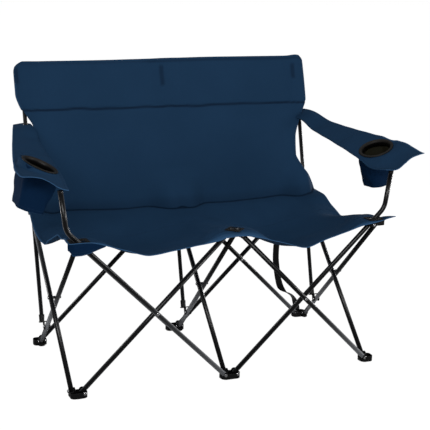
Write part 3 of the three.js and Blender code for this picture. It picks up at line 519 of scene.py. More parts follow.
def grow_ring(bm, ring, edges):
    """Extrudes a ring of edges once, and gives back the new ring in the same order."""
    grown = bmesh.ops.extrude_edge_only(bm, edges=edges)["geom"]
    fresh = {g for g in grown if isinstance(g, bmesh.types.BMVert)}
    old = set(ring)
    linked = {}
    for vert in fresh:
        for edge in vert.link_edges:
            other = edge.other_vert(vert)
            if other in old:
                linked[other] = vert
    new_edges = [g for g in grown if isinstance(g, bmesh.types.BMEdge) and all(v in fresh for v in g.verts)]
    return [linked[v] for v in ring], new_edges


def row_leg(row, bay, rising):
    """The lower and upper pivot of a leg in the front or rear row, in the left bay (0) or right bay (1)."""
    y = ROWS[row] * HALF_ROW + (ROW_OFFSET if rising else -ROW_OFFSET)
    low_column = bay - 1 if rising else bay
    high_column = bay if rising else bay - 1
    way = 1 if high_column > low_column else -1
    return (
        Vector((low_column * PITCH + way * ROW_INSET, y, FOOT_PIVOT)),
        Vector((high_column * PITCH - way * ROW_INSET, y, HUB_PIVOT)),
    )


def side_leg(column, from_row):
    """The lower and upper pivot of a leg in a side plane, which stands on the foot of from_row."""
    way = -ROWS[from_row]
    x = COLUMNS[column] * PITCH - way * SIDE_OFFSET
    return (
        Vector((x, -way * (HALF_ROW - SIDE_INSET), FOOT_PIVOT)),
        Vector((x, way * (HALF_ROW - SIDE_INSET), HUB_PIVOT)),
    )


def post_point(column, height):
    """The point of a back post's middle line at a height."""
    along = (height - CLIP_Z) / POST_RUN.z
    foot = Vector((COLUMNS[column] * PITCH + POST_SIDEWAYS, CLIP_Y, CLIP_Z))
    return foot + POST_RUN * along


def leg_piece(name, points, radius=TUBE_RADIUS):
    bm = bmesh.new()
    tube(bm, [place(p) for p in points], radius / 1000)
    obj = piece(f"tube_{name}", bm, STEEL, name)
    obj.data.polygons.foreach_set("use_smooth", [len(p.vertices) == 4 for p in obj.data.polygons])
    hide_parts(name)


def arm_leg_points(foot, hub):
    """The path of a front leg that runs on past its hub and bends up into the arm post."""
    side = math.copysign(1, hub.x)
    run = (hub - foot).normalized()
    arm_rise = ARM_POST_TOP - HUB_PIVOT
    radius = ARM_BEND_SHARE * arm_rise
    start = hub + run * ARM_RUN_SHARE * arm_rise
    lean = math.radians(ARM_POST_LEAN)
    turn = math.pi / 2 - lean - REST
    inward = Vector((-side * run.z, 0, side * run.x))
    centre = start + inward * radius
    points = [foot - run * TUBE_PAST_PIVOT, hub, start]
    steps = 12
    for step in range(1, steps + 1):
        angle = turn * step / steps
        points.append(centre + (run * math.sin(angle) - inward * math.cos(angle)) * radius)
    up = Vector((side * math.sin(lean), 0, math.cos(lean)))
    points.append(points[-1] + up * ((ARM_POST_TOP + IN_CLOTH - points[-1].z) / up.z))
    return points


def build_tubes():
    for row in ROWS:
        for bay, bay_name in enumerate(("left", "right")):
            for way in ("rising", "falling"):
                foot, hub = row_leg(row, bay, way == "rising")
                run = (hub - foot).normalized() * TUBE_PAST_PIVOT
                name = f"leg_{row}_{bay_name}_{way}"
                has_arm = name in ("leg_front_left_falling", "leg_front_right_rising")
                leg_piece(name, arm_leg_points(foot, hub) if has_arm else [foot - run, hub + run])
    for column in COLUMNS:
        for start in ROWS:
            foot, hub = side_leg(column, start)
            run = (hub - foot).normalized() * TUBE_PAST_PIVOT
            leg_piece(f"leg_side_{column}_from_{start}", [foot - run, hub + run])
        low_end = post_point(column, CLIP_Z) + POST_RUN * POST_BELOW_CLIP
        leg_piece(f"back_post_{column}", [low_end, post_point(column, POST_TOP)], radius=POST_RADIUS)


build_tubes()


# Moulded feet, hubs and clips: the CAD solid with its edges broken (angles in degrees), and the plan of
# a foot or hub drawn in at its corners
ROUND_POWER = 2.5
ROUND_SHARE = 0.3
BROKEN_EDGE = 0.5
MERGED = 0.02
ONE_FACE, ONE_CURVE, SHARP_EDGE = 1.5, 38, 40


def rounder(bm):
    """Draws the outer corners of a moulding's plan in towards a rounder outline."""
    xs = [v.co.x for v in bm.verts]
    ys = [v.co.y for v in bm.verts]
    middle = Vector(((min(xs) + max(xs)) / 2, (min(ys) + max(ys)) / 2, 0))
    half_x, half_y = (max(xs) - min(xs)) / 2, (max(ys) - min(ys)) / 2
    for vert in bm.verts:
        out = vert.co - middle
        reach = (abs(out.x) / half_x) ** ROUND_POWER + (abs(out.y) / half_y) ** ROUND_POWER
        reach **= 1 / ROUND_POWER
        if reach > 1:
            share = (1 + (reach - 1) * ROUND_SHARE) / reach
            vert.co.x = middle.x + out.x * share
            vert.co.y = middle.y + out.y * share


def softened(node, body):
    """The nylon moulding of a node, with its flat faces joined and its edges broken."""
    bm = bmesh.new()
    bm.from_mesh(nodes[node].data)
    bmesh.ops.remove_doubles(bm, verts=bm.verts, dist=MERGED / 1000)
    if "clip" not in node:
        rounder(bm)
    bmesh.ops.dissolve_limit(bm, angle_limit=math.radians(ONE_FACE), verts=bm.verts, edges=bm.edges)
    for edge in bm.edges:
        edge.smooth = len(edge.link_faces) == 2 and edge.calc_face_angle(0) < math.radians(ONE_CURVE)
    obj = piece(f"moulded_{node}", bm, PLASTIC, body)
    edge = obj.modifiers.new("broken_edges", "BEVEL")
    edge.width = BROKEN_EDGE / 1000
    edge.segments = 2
    edge.limit_method = "ANGLE"
    edge.angle_limit = math.radians(SHARP_EDGE)
    edge.use_clamp_overlap = True
    edge.harden_normals = True
    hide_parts(node)


for column in COLUMNS:
    for row in ROWS:
        for kind in ("foot", "hub"):
            softened(f"{kind}_{row}_{column}", f"{kind}_{row}_{column}")
    softened(f"post_clip_{column}", f"back_post_{column}")


# Rivets: a round bright head over the end of each, with its edge rounded. A side leg's bay ends at its
# two cheeks, and a row leg's at the tray's outer walls, which the rounded plan draws in a little.
HEAD_RADIUS = 5.4
HEAD_HEIGHT = 1.9
HEAD_ROUND = 1.2
SIDE_CHEEK = 11
TRAY_WALL = 1.5
ROW_WALL = ROW_OFFSET + TUBE_RADIUS + TRAY_WALL
SHANK_RADIUS = 3
SPACER_RADIUS = 4.8
PLAY = 0.3


def rivet_head(bm, spot, outward):
    """One head, standing on a face at spot, in millimetres."""
    head = bmesh.ops.create_cone(
        bm,
        cap_ends=True,
        segments=20,
        radius1=HEAD_RADIUS / 1000,
        radius2=HEAD_RADIUS / 1000,
        depth=HEAD_HEIGHT / 1000,
    )["verts"]
    rim = [e for e in bm.edges if all(v in set(head) and v.co.z > 0 for v in e.verts)]
    rounded = bmesh.ops.bevel(
        bm, geom=rim, offset=HEAD_ROUND / 1000, segments=4, profile=0.5, affect="EDGES", material=-1
    )["verts"]
    verts = list({v for v in head if v.is_valid} | set(rounded))
    turn = Vector((0, 0, 1)).rotation_difference(outward).to_matrix()
    bmesh.ops.rotate(bm, verts=verts, cent=(0, 0, 0), matrix=turn)
    bmesh.ops.translate(bm, verts=verts, vec=place(spot + outward * HEAD_HEIGHT / 2))


def moulding_heads(kind, row, column):
    """Where the rivets of a foot or hub come out, drawn as on a front foot and turned like the moulding."""
    flip = {
        ("foot", "front"): (1, 1),
        ("foot", "rear"): (-1, -1),
        ("hub", "front"): (-1, 1),
        ("hub", "rear"): (1, -1),
    }[kind, row]
    found = [((way * SIDE_CHEEK - SIDE_OFFSET, SIDE_INSET), (way, 0)) for way in (-1, 1)]
    centre = COLUMNS[column]
    for way in (-1, 1):
        if abs(centre + way * flip[0]) <= 1:
            across = way * ROW_INSET
            found.append(((across, way * ROW_WALL), (0, way)))
            found.append(((across, -way * ROW_WALL), (0, -way)))
    level = FOOT_PIVOT if kind == "foot" else HUB_PIVOT
    middle = Vector((centre * PITCH, ROWS[row] * HALF_ROW, level))
    turned = []
    for (x, y), (a, b) in found:
        spot = middle + Vector((x * flip[0], y * flip[1], 0))
        turned.append((spot, Vector((a * flip[0], b * flip[1], 0))))
    return turned


def heads_piece(name, body, heads):
    bm = bmesh.new()
    for spot, outward in heads:
        rivet_head(bm, spot, outward)
    piece(name, bm, RIVET, body, smooth_faces=False)


def crossing_rivet(node, foot, hub, offset, axis):
    """The rivet that holds two crossed legs: both heads, and the spacer between the tubes."""
    middle = (foot + hub) / 2 - axis * offset
    grip = offset + TUBE_RADIUS + PLAY
    bm = bmesh.new()
    for way in (-1, 1):
        rivet_head(bm, middle + axis * way * grip, axis * way)
    tube(bm, [place(middle - axis * grip), place(middle + axis * grip)], SHANK_RADIUS / 1000, 16)
    bright = len(bm.faces)
    gap = offset - TUBE_RADIUS - PLAY
    tube(bm, [place(middle - axis * gap), place(middle + axis * gap)], SPACER_RADIUS / 1000, 20)
    leg = node.replace("rivet_", "leg_")
    body = leg + ("_from_rear" if "side" in node else "_rising")
    obj = piece(f"joined_{node}", bm, RIVET, body, smooth_faces=False)
    obj.data.materials.append(PLASTIC)
    for polygon in list(obj.data.polygons)[bright:]:
        polygon.material_index = 1
    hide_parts(node)


def build_rivets():
    for column in COLUMNS:
        for row in ROWS:
            for kind in ("foot", "hub"):
                body = f"{kind}_{row}_{column}"
                heads_piece(f"rivets_{body}", body, moulding_heads(kind, row, column))
        pin = Vector((COLUMNS[column] * PITCH + SIDE_OFFSET, CLIP_Y, CLIP_Z))
        heads = [(pin + Vector((way * SIDE_CHEEK, 0, 0)), Vector((way, 0, 0))) for way in (-1, 1)]
        heads_piece(f"rivets_clip_{column}", f"back_post_{column}", heads)
        foot, hub = side_leg(column, "rear")
        crossing_rivet(f"rivet_side_{column}", foot, hub, SIDE_OFFSET, Vector((1, 0, 0)))
    for row in ROWS:
        for bay, bay_name in enumerate(("left", "right")):
            foot, hub = row_leg(row, bay, True)
            crossing_rivet(f"rivet_{row}_{bay_name}", foot, hub, ROW_OFFSET, Vector((0, 1, 0)))


build_rivets()

# End caps over the tops of the arm posts, inside the arm cloth
CAP_BELOW, CAP_ABOVE, CAP_WALL = 9, 1.6, 0.2


def build_caps():
    for name, way in (("left", "falling"), ("right", "rising")):
        points = arm_leg_points(*row_leg("front", 0 if name == "left" else 1, way == "rising"))
        up = (points[-1] - points[-2]).normalized()
        bm = bmesh.new()
        ends = [place(points[-1] - up * CAP_BELOW), place(points[-1] + up * CAP_ABOVE)]
        tube(bm, ends, (TUBE_RADIUS + CAP_WALL) / 1000)
        leg = f"leg_front_{name}_{way}"
        obj = piece(f"cap_{name}", bm, PLASTIC, leg, smooth_faces=False)
        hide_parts(f"arm_post_cap_{name}")


build_caps()


# Cloth


def cloth_layers(bm):
    """The layers that hold each point's distance to a cut edge, and how much painted shade it takes."""
    return bm.verts.layers.float.new("edge"), bm.verts.layers.float.new("painted_shade")


def unwrap(bm, flat):
    """Lays every face out flat, where flat gives each vertex its place in metres."""
    uv_layer = bm.loops.layers.uv.new("UVMap")
    for face in bm.faces:
        for loop in face.loops:
            loop[uv_layer].uv = flat[loop.vert]


def thicken(obj, thickness, offset=0):
    """Gives a sheet its thickness, in millimetres."""
    solid = obj.modifiers.new("thickness", "SOLIDIFY")
    solid.thickness = thickness / 1000
    solid.offset = offset
    return solid


def cloth(name, surface, steps, body, edges, size, painted_shade_at=None, opening=None, material=NAVY):
    """A sheet over surface(u, v), with each point's distance to the cut edges and its painted shade."""
    bm = bmesh.new()
    bmesh.ops.create_grid(bm, x_segments=steps[0], y_segments=steps[1], size=0.5)
    edge_layer, painted_shade_layer = cloth_layers(bm)
    flat = {vert: (vert.co.x + 0.5, vert.co.y + 0.5) for vert in bm.verts}
    if opening:
        inside = []
        for face in bm.faces:
            middle = [sum(flat[vert][axis] for vert in face.verts) / len(face.verts) for axis in (0, 1)]
            if opening(surface(*middle)):
                inside.append(face)
        bmesh.ops.delete(bm, geom=inside, context="FACES")
        flat = {vert: flat[vert] for vert in bm.verts}
    for vert, (u, v) in flat.items():
        vert[edge_layer] = edges(u, v) / 1000
        vert[painted_shade_layer] = painted_shade_at(u, v) if painted_shade_at else 0.0
        vert.co = place(surface(u, v))
    unwrap(bm, {vert: (u * size[0] / 1000, v * size[1] / 1000) for vert, (u, v) in flat.items()})
    bmesh.ops.recalc_face_normals(bm, faces=bm.faces)
    obj = piece(name, bm, material, body)
    thicken(obj, CLOTH)
    return obj


def ripple(point, scale, amount, seed):
    """A soft, irregular rise and fall over the cloth."""
    return noise.noise(Vector(point) / scale + Vector((seed, seed * 2.3, seed * 1.7))) * amount


# The seat: half its width on each side and the hang of its two sides, both against the share of its
# depth, and the hang of its front and rear edges against x
seat_reach = {
    -1: line_through(
        (0, 552), (0.05, 548), (0.2, 541), (0.35, 540), (0.45, 556), (0.6, 562), (0.8, 560), (1, 560)
    ),
    1: line_through(
        (0, 576), (0.05, 566), (0.12, 550), (0.2, 540), (0.45, 544), (0.7, 548), (0.9, 552), (1, 556)
    ),
}
side_hang = {
    -1: line_through(
        (0, 0), (0.1, 8), (0.206, 19), (0.31, 12), (0.438, 46), (0.493, 66), (0.588, 62), (0.71, 51),
        (0.783, 33), (0.856, 4), (1, 0),
    ),
    1: line_through(
        (0, -12), (0.06, -6), (0.1, 2), (0.2, 6), (0.32, 18), (0.44, 37), (0.566, 53), (0.635, 43),
        (0.71, 30), (0.84, 3), (1, 0),
    ),
}
front_hang = line_through(
    (-576, -4), (-548, -1), (-508, -2), (-483, -1), (-468, 2), (-444, 9), (-408, 20), (-373, 31),
    (-291, 53), (-204, 43), (-130, 34), (-63, 25), (-36, 17), (18, 15), (61, 22), (147, 43), (245, 69),
    (300, 53), (377, 33), (451, 12), (507, 3), (540, -5), (576, -12),
)
rear_hang = line_through(
    (-560, 4), (-511, 14), (-353, 24), (-194, 28), (-8, 24), (167, 28), (353, 20), (531, 8), (560, 4)
)

# How far from a hub's middle the seat lies flat on it and from where it hangs free, and the same for
# the seat's sides, past the outer hubs
FRONT_HUB_FLAT = (46, 125)
REAR_HUB_FLAT = (43, 62)
PAST_HUBS = (538, 548)

# The hollow between the rows, the share of it that is left over the legs, and the depth of the front lip
HOLLOW = 52
HOLLOW_OVER_LEGS = 0.45
LIP = 10
FAR = 999


def nearest_column(x):
    """Where the column of legs nearest to x stands."""
    return round(min(max(x / PITCH, -1), 1)) * PITCH


def seat_point(across, y):
    """The seat's surface, from its left edge (-1) to its right edge (1)."""
    along = (y - SEAT_FRONT) / (SEAT_REAR - SEAT_FRONT)
    side = 1 if across > 0 else -1
    x = across * seat_reach[side](along)
    from_hub = math.hypot(x - nearest_column(x), y - (-HALF_ROW if y < 0 else HALF_ROW))
    free = smooth(from_hub, *(FRONT_HUB_FLAT if y < 0 else REAR_HUB_FLAT))
    between_columns = math.sin(math.pi * min(max(x / PITCH, -1), 1)) ** 2
    between_rows = math.sin(math.pi * min(max(along, 0), 1))
    lip = 1 - smooth(y, SEAT_FRONT, SEAT_FRONT + LIP)
    front = front_hang(x)
    hollow = HOLLOW * between_rows**1.3 * mix(HOLLOW_OVER_LEGS, 1, between_columns)
    inner = mix(front, rear_hang(x), smooth(along, 0, 1)) + hollow
    outside = smooth(abs(across), 0.8, 1)
    hanging = mix(free, 1, outside * smooth(abs(x), *PAST_HUBS))
    sag = mix(inner, side_hang[side](along), outside) * hanging
    edge_drop = (front - sag) * lip * (1 - smooth(along, 0, 0.03))
    tension = ripple((x, y, 0), 90, 3.0, 1.2) + ripple((x, y * 0.4, 0), 36, 1.0, 4.1)
    wave = tension * free * smooth(from_hub, 60, 220)
    return Vector((x, y, SEAT_LEVEL - sag - edge_drop + wave))


def seat_edges(u, v, start, end, front_end):
    """How far a point of a seat half lies from its hemmed edges."""
    side = min(u, 1 - u) * 2 * PITCH
    front = v * (end - start) * 0.75 if front_end else FAR
    rear = FAR if front_end else (1 - v) * (end - start) + 6
    return min(side, front, rear)


# Where the back stands on the seat, its swell before a rear hub, and the painted shade along its crease
BACK_FOOT = SEAT_REAR - 5
BACK_SWELL = 50
CREASE = SEAT_REAR - 6
CREASE_SHADE = 0.75


def over_rear_hub(x):
    """How far the back's foot swells forward, so as to hang before a rear hub."""
    near_hub = 1 - smooth(abs(x - nearest_column(x)), 30, 120)
    return BACK_SWELL * near_hub * (1 - smooth(abs(x), 515, 556))


def seat_crease_shade(u, v):
    """Painted shade along the crease at the foot of the back."""
    point = seat_point(2 * u - 1, mix(SEAT_FOLD, SEAT_REAR, v))
    from_crease = abs(point.y - CREASE + over_rear_hub(point.x))
    return CREASE_SHADE * (1 - smooth(from_crease, 2, 13))


# Openings in the seat: round an arm post, and at its rear edge for a back post
ARM_HOLE_IN, ARM_HOLE_OUT, ARM_HOLE_HALF = 12, 32, 12
POST_NOTCH_HALF, POST_NOTCH_DEPTH = 11, 5.5


def round_arm_post(point):
    """Whether a point of the seat is in the opening that an arm post passes through."""
    side = 1 if point.x > 0 else -1
    along = side * point.x - (PITCH - ROW_INSET)
    across = abs(point.y + HALF_ROW - side * ROW_OFFSET)
    return -ARM_HOLE_IN < along < ARM_HOLE_OUT and across < ARM_HOLE_HALF


def round_back_post_end(point):
    """Whether a point of the seat's rear edge is where a back post comes through."""
    from_post = abs(point.x - nearest_column(point.x) - POST_SIDEWAYS)
    return from_post < POST_NOTCH_HALF and point.y > SEAT_REAR - POST_NOTCH_DEPTH


def seat_panels():
    """The seat's front and rear half, which meet at the fold line."""
    for name, start, end, steps, front_end in (
        ("seat_front", SEAT_FRONT, SEAT_FOLD, 100, True),
        ("seat_rear", SEAT_FOLD, SEAT_REAR, 56, False),
    ):
        obj = cloth(
            f"cloth_{name}",
            lambda u, v, s=start, e=end: seat_point(2 * u - 1, mix(s, e, v)),
            (230, steps),
            name,
            lambda u, v, s=start, e=end, f=front_end: seat_edges(u, v, s, e, f),
            (2 * PITCH, end - start),
            painted_shade_at=None if front_end else seat_crease_shade,
            opening=round_arm_post if front_end else round_back_post_end,
        )
        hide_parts(f"{name}_panel")
        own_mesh(obj)


seat_panels()

# The corner flap: from where to where it hangs, and how far down against the share of its width
FLAP_OUTER, FLAP_INNER = -552, -436
flap_drop = line_through(
    (0, 20), (0.06, 26), (0.12, 37), (0.3, 38), (0.52, 33), (0.72, 22), (0.9, 9), (1, 3)
)


def corner_flap():
    """The seat's left front corner, which hangs over the hub in front."""

    def point(u, v):
        x = mix(FLAP_OUTER, FLAP_INNER, u)
        top = SEAT_LEVEL - front_hang(x) - 1
        bulge = 5 * math.sin(math.pi * v * 0.8) * math.sin(math.pi * u)
        turned_in = 10 * (1 - smooth(u, 0, 0.2)) ** 2
        y = SEAT_FRONT + 2 - bulge + turned_in + ripple((x, v * 30, 3), 24, 1.6, 0)
        return Vector((x, y, top - v * flap_drop(u)))

    obj = cloth(
        "seat_corner_flap",
        point,
        (40, 16),
        "seat_front",
        lambda u, v: min((1 - v) * 34 + 1, 20),
        (116, 38),
        # The flap takes the darker navy as painted shade
        material=SHADED_NAVY,
    )
    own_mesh(obj)


corner_flap()

# The back: one panel before the posts, and a doubled band above the seam that holds their tops. Half
# its width on each side, against the share of its height, and the rise of its top edge against x
back_reach = {
    -1: line_through(
        (0, 556), (0.075, 537), (0.18, 509), (0.26, 493), (0.39, 494), (0.5, 497), (0.565, 505),
        (0.62, 522), (0.66, 534), (0.7, 543), (0.78, 553), (0.93, 553), (0.965, 549), (0.985, 540), (1, 524),
    ),
    1: line_through(
        (0, 557), (0.03, 552), (0.09, 535), (0.19, 509), (0.27, 492), (0.4, 495), (0.5, 511), (0.61, 537),
        (0.685, 550), (0.82, 549), (0.93, 547), (0.965, 546), (0.985, 541), (1, 532),
    ),
}
back_top = line_through(
    (-560, -5), (-527, -4), (-300, -3), (-65, 0), (212, 4), (480, 4), (518, 7), (545, 2)
)
BACK_NORMAL = Vector((0, math.cos(LEAN), -math.sin(LEAN)))

# How far the faces stand off the plane of the posts: the panel's, and the band's at and between posts
PANEL_FRONT, PANEL_REAR = 9.7, -7.3
BAND_AT_POST = 8.8
BAND_FRONT_FREE, BAND_REAR_FREE = 4.4, 2.2
BAND_GROOVE = 2.2

# The heights between which the swell before the rear hubs runs out
SWELL_ENDS = (474, 610)


def back_offset(x, height, face):
    """How far the front or rear face stands off the plane of the posts."""
    beside = x - POST_SIDEWAYS
    from_post = abs(beside - nearest_column(beside))
    free = smooth(from_post, 15, 60)
    band = smooth(height, BAND_BOTTOM - 2, BAND_BOTTOM + 2)
    groove = BAND_GROOVE * (1 - smooth(abs(height - BAND_BOTTOM), 1, 6))
    calm = smooth(from_post, 20, 160)
    rise = ripple((x * 0.5, 0, height), 110, 2.4, 7.7) * calm
    rise += ripple((x, 0, height * 0.3), 60, 1.0, 3.3) * calm * band
    if face == "rear":
        return mix(PANEL_REAR, mix(BAND_AT_POST, BAND_REAR_FREE, free), band) - rise
    front = mix(PANEL_FRONT, mix(BAND_AT_POST, BAND_FRONT_FREE, free), band) - groove
    return -(front + rise + over_rear_hub(x) * (1 - smooth(height, *SWELL_ENDS)))


def back_point(u, v, face):
    """A point of the back's front or rear face, which stands on the seat at v = 0."""
    across = 2 * u - 1
    side = 1 if across > 0 else -1
    x = across * back_reach[side](v)
    foot_line = BACK_FOOT - (over_rear_hub(x) if face == "front" else 0)
    on_seat = seat_point(x / seat_reach[side](1), foot_line).z + CLOTH / 2 + GAP
    height = mix(on_seat, BACK_TOP + back_top(x), v)
    offset = back_offset(x, height, face)
    height -= BACK_NORMAL.z * offset * (1 - smooth(v, 0, 0.05))
    return post_point("centre", height) + BACK_NORMAL * offset + Vector((x - POST_SIDEWAYS, 0, 0))


# The stitched lines of the post pockets: where each runs and its lower end, and where all fade out; the
# stitched line below the top edge; and how dark the painted shade along the band's seam, the pocket lines and
# the hem line is
POCKET_LINES = ((-20, 884), (-547, 900), (503, 900))
POCKET_TOP = (952, 966)
HEM_BELOW = 9
SEAM_SHADE, POCKET_SHADE, HEM_SHADE = 0.75, 0.5, 0.4


def back_painted_shade(x, height):
    """How dark the painted shade along the band's seam, the post pockets' lines and the hem is at a point."""
    wave = ripple((x, 0, 0), 70, 2.5, 9.1)
    painted_shade = 1 - smooth(abs(height - BAND_BOTTOM - wave), 2, 5)
    pockets = 0
    for centre, low_end in POCKET_LINES:
        line = 1 - smooth(abs(x - centre - ripple((0, 0, height), 30, 4, 5.5)), 4, 12)
        line *= smooth(height, low_end, low_end + 12) * (1 - smooth(height, *POCKET_TOP))
        pockets = max(pockets, line)
    hem = 1 - smooth(abs(height - BACK_TOP - back_top(x) + HEM_BELOW), 1, 5)
    hem *= mix(0.3, 1, smooth(x, -110, -50))
    return max(SEAM_SHADE * painted_shade, POCKET_SHADE * pockets, HEM_SHADE * hem)


# The back's height along its cloth, the share of it above the seat that takes painted shade, and how dark
# that shade is
BACK_RISE = 490
FOOT_SHARE = 0.08
FOOT_SHADE = 0.3


def back_panel():
    """The back, front and rear face in one closed sheet."""
    bm = bmesh.new()
    bmesh.ops.create_grid(bm, x_segments=220, y_segments=120, size=0.5)
    edge_layer, painted_shade_layer = cloth_layers(bm)
    grown = bmesh.ops.extrude_face_region(bm, geom=bm.faces[:])["geom"]
    rear = {g for g in grown if isinstance(g, bmesh.types.BMVert)}
    flat = {}
    for vert in bm.verts:
        u, v = vert.co.x + 0.5, vert.co.y + 0.5
        flat[vert] = (u * 1.07, v * 0.5)
        spot = back_point(u, v, "rear" if vert in rear else "front")
        from_edge = (min(u, 1 - u) * 2 * PITCH + 2.5, (1 - v) * BACK_RISE + 3, v * BACK_RISE + 14)
        vert[edge_layer] = min(from_edge) / 1000
        # Painted shade at the back's foot, just above the seat
        foot_shade = FOOT_SHADE * (1 - smooth(v, 0, FOOT_SHARE))
        vert[painted_shade_layer] = max(back_painted_shade(spot.x, spot.z), foot_shade)
        vert.co = place(spot)
    unwrap(bm, flat)
    bmesh.ops.recalc_face_normals(bm, faces=bm.faces)
    obj = piece("cloth_back", bm, NAVY, "back_post_centre")
    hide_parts("back_sheet")
    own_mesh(obj)


back_panel()

# The arms: their inner and outer edges and the sag of the outer one, all against the share of their
# length, and the height of their front and rear ends against the distance from the seat's middle
arm_inner = {
    -1: line_through((0, 547), (0.06, 541), (0.3, 524), (0.6, 520), (0.85, 510), (1, 505)),
    1: line_through((0, 541), (0.06, 529), (0.14, 523), (0.3, 521), (0.6, 516), (0.85, 506), (1, 500)),
}
arm_outer = {
    -1: line_through((0, 692), (0.07, 692), (0.3, 668), (0.6, 628), (0.85, 590), (1, 566)),
    1: line_through(
        (0, 673), (0.05, 671), (0.12, 666), (0.2, 660), (0.3, 650), (0.4, 636), (0.6, 607), (0.85, 573),
        (1, 550),
    ),
}
arm_slack = {
    -1: line_through((0, 6), (0.067, 13), (0.3, 30), (0.5, 34), (0.75, 27), (1, 18)),
    1: line_through((0, -8), (0.05, -20), (0.115, -14), (0.2, -8), (0.3, -5), (0.42, -1), (0.8, 3), (1, 0)),
}
arm_front_edge = {
    -1: line_through(
        (547, 665), (562, 669), (580, 677), (604, 693), (631, 706), (657, 711), (684, 713), (692, 716)
    ),
    1: line_through((538, 668), (560, 669), (576, 673), (600, 690), (627, 709), (650, 716), (675, 722)),
}
arm_rear_edge = {
    -1: line_through((500, 768), (527, 772), (566, 768)),
    1: line_through((500, 762), (520, 774), (550, 790)),
}

# The right arm's inner front corner is cut round, with a dip behind it; both arms curve up to the rear
ARM_WIDTH = 130
CORNER_CUT = 16
CORNER_DIP = 7
REAR_RISE = 8
REAR_RISE_FROM = 100


def arm_point(side, across, y):
    """A point of an arm's cloth, from its inner edge (0) to its outer edge (1)."""
    along = (y - ARM_FRONT) / (ARM_REAR - ARM_FRONT)
    out = mix(arm_inner[side](along), arm_outer[side](along), across)
    if side > 0:
        y += CORNER_CUT * (1 - smooth(across, 0, 0.25)) ** 2 * (1 - smooth(along, 0, 0.08))
    rear = max(0, (y - REAR_RISE_FROM) / (ARM_REAR - REAR_RISE_FROM))
    plane = RING.z + ARM_ROLL * (out - RING.x) + ARM_PITCH * (y - RING.y) + REAR_RISE * rear**2
    from_ring = math.hypot(out - RING.x, y - RING.y)
    free = smooth(from_ring, 62, 110)
    height = plane - arm_slack[side](along) * across**1.4 * smooth(from_ring, 58, 72)
    if side > 0:
        dip = smooth(along, 0.02, 0.1) * (1 - smooth(along, 0.14, 0.3))
        height -= CORNER_DIP * (1 - smooth(across, 0, 0.35)) * dip
    from_front = mix(smooth(y, ARM_FRONT - 4, -190), smooth(y, ARM_FRONT, -170), free)
    height = mix(arm_front_edge[side](out), height, from_front)
    height = mix(height, arm_rear_edge[side](out), smooth(y, 200, 345))
    wave = ripple((out, y, side * 40), 60, 2.4, 2.2) * free
    return Vector((side * out, y, height + wave))


def arm_matrix(side, lift):
    """The plane of an arm's cloth round its ring, raised by lift."""
    normal = Vector((-side * ARM_ROLL, -ARM_PITCH, 1)).normalized()
    turn = Vector((0, 0, 1)).rotation_difference(normal).to_matrix().to_4x4()
    spot = Vector((side * RING.x, RING.y, RING.z)) + normal * lift
    return Matrix.Translation(place(spot)) @ turn


def arm_edges(u, v, length, front_end, side):
    """How far a point of an arm half lies from its hemmed edges."""
    inner, outer = (u, 1 - u) if side > 0 else (1 - u, u)
    end = v * length if front_end else (1 - v) * length + 2
    return min(inner * ARM_WIDTH + 4, outer * ARM_WIDTH, end)


# Openings in the arms, as radii
RING_HOLE = 53
POST_HOLE = 10


def round_ring(point):
    """Whether a point of an arm is in the opening under its cup ring, which is a little narrower in x."""
    return math.hypot((abs(point.x) - RING.x) * 1.08, point.y - RING.y) < RING_HOLE


def round_back_post(point):
    """Whether a point of an arm is in the opening that a back post passes through."""
    posts = [post_point(column, point.z) for column in ("left", "right")]
    return any(math.hypot(point.x - post.x, point.y - post.y) < POST_HOLE for post in posts)


def arm_panels():
    """The front and rear half of each arm, which meet at its fold line."""
    for name, side in SIDES:
        for half, start, end, steps in (
            ("front", ARM_FRONT, ARM_FOLD, 90),
            ("rear", ARM_FOLD, ARM_REAR, 80),
        ):
            front_end = half == "front"
            obj = cloth(
                f"cloth_arm_{half}_{name}",
                lambda u, v, s=start, e=end, w=side: arm_point(w, u if w > 0 else 1 - u, mix(s, e, v)),
                (40, steps),
                f"arm_{half}_{name}",
                lambda u, v, n=end - start, f=front_end, w=side: arm_edges(u, v, n, f, w),
                (ARM_WIDTH, end - start),
                opening=round_ring if front_end else round_back_post,
            )
            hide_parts(f"arm_{half}_panel_{name}")


arm_panels()

# A cup ring's section, as radius and height above the cloth; inside RING_THROAT it takes black nylon as
# painted shade in the neck
RING_SECTION = (
    (46, -16), (50.5, -16), (50.5, 0), (58.6, 0), (60, 1), (59.7, 2.3), (58.4, 3.3), (56, 3.8),
    (53, 3.6), (50.8, 2.8), (49.2, 1), (48, -3),
)
RING_THROAT = 48.4


def cup_ring(name, side):
    """A turned ring: a thick rounded flange and a neck that reaches down into the pouch."""
    bm = bmesh.new()
    verts = [bm.verts.new((r / 1000, 0, z / 1000)) for r, z in RING_SECTION]
    edges = [bm.edges.new((a, b)) for a, b in zip(verts, verts[1:] + verts[:1])]
    bmesh.ops.spin(
        bm, geom=verts + edges, cent=(0, 0, 0), axis=(0, 0, 1), angle=2 * math.pi, steps=80, use_merge=True
    )
    bmesh.ops.remove_doubles(bm, verts=bm.verts, dist=1e-6)
    bmesh.ops.recalc_face_normals(bm, faces=bm.faces)
    bm.transform(arm_matrix(side, CLOTH / 2 + GAP))
    obj = piece(f"ring_{name}", bm, RING_BLACK, f"arm_front_{name}")
    obj.data.materials.append(PLASTIC)
    axis = arm_matrix(side, 0).to_3x3() @ Vector((0, 0, 1))
    middle = arm_matrix(side, 0).translation
    # The neck's inner wall is black nylon, as painted shade inside the ring
    for polygon in obj.data.polygons:
        from_axis = polygon.center - middle
        if (from_axis - axis * from_axis.dot(axis)).length < RING_THROAT / 1000:
            polygon.material_index = 1
    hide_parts(f"cup_ring_{name}")


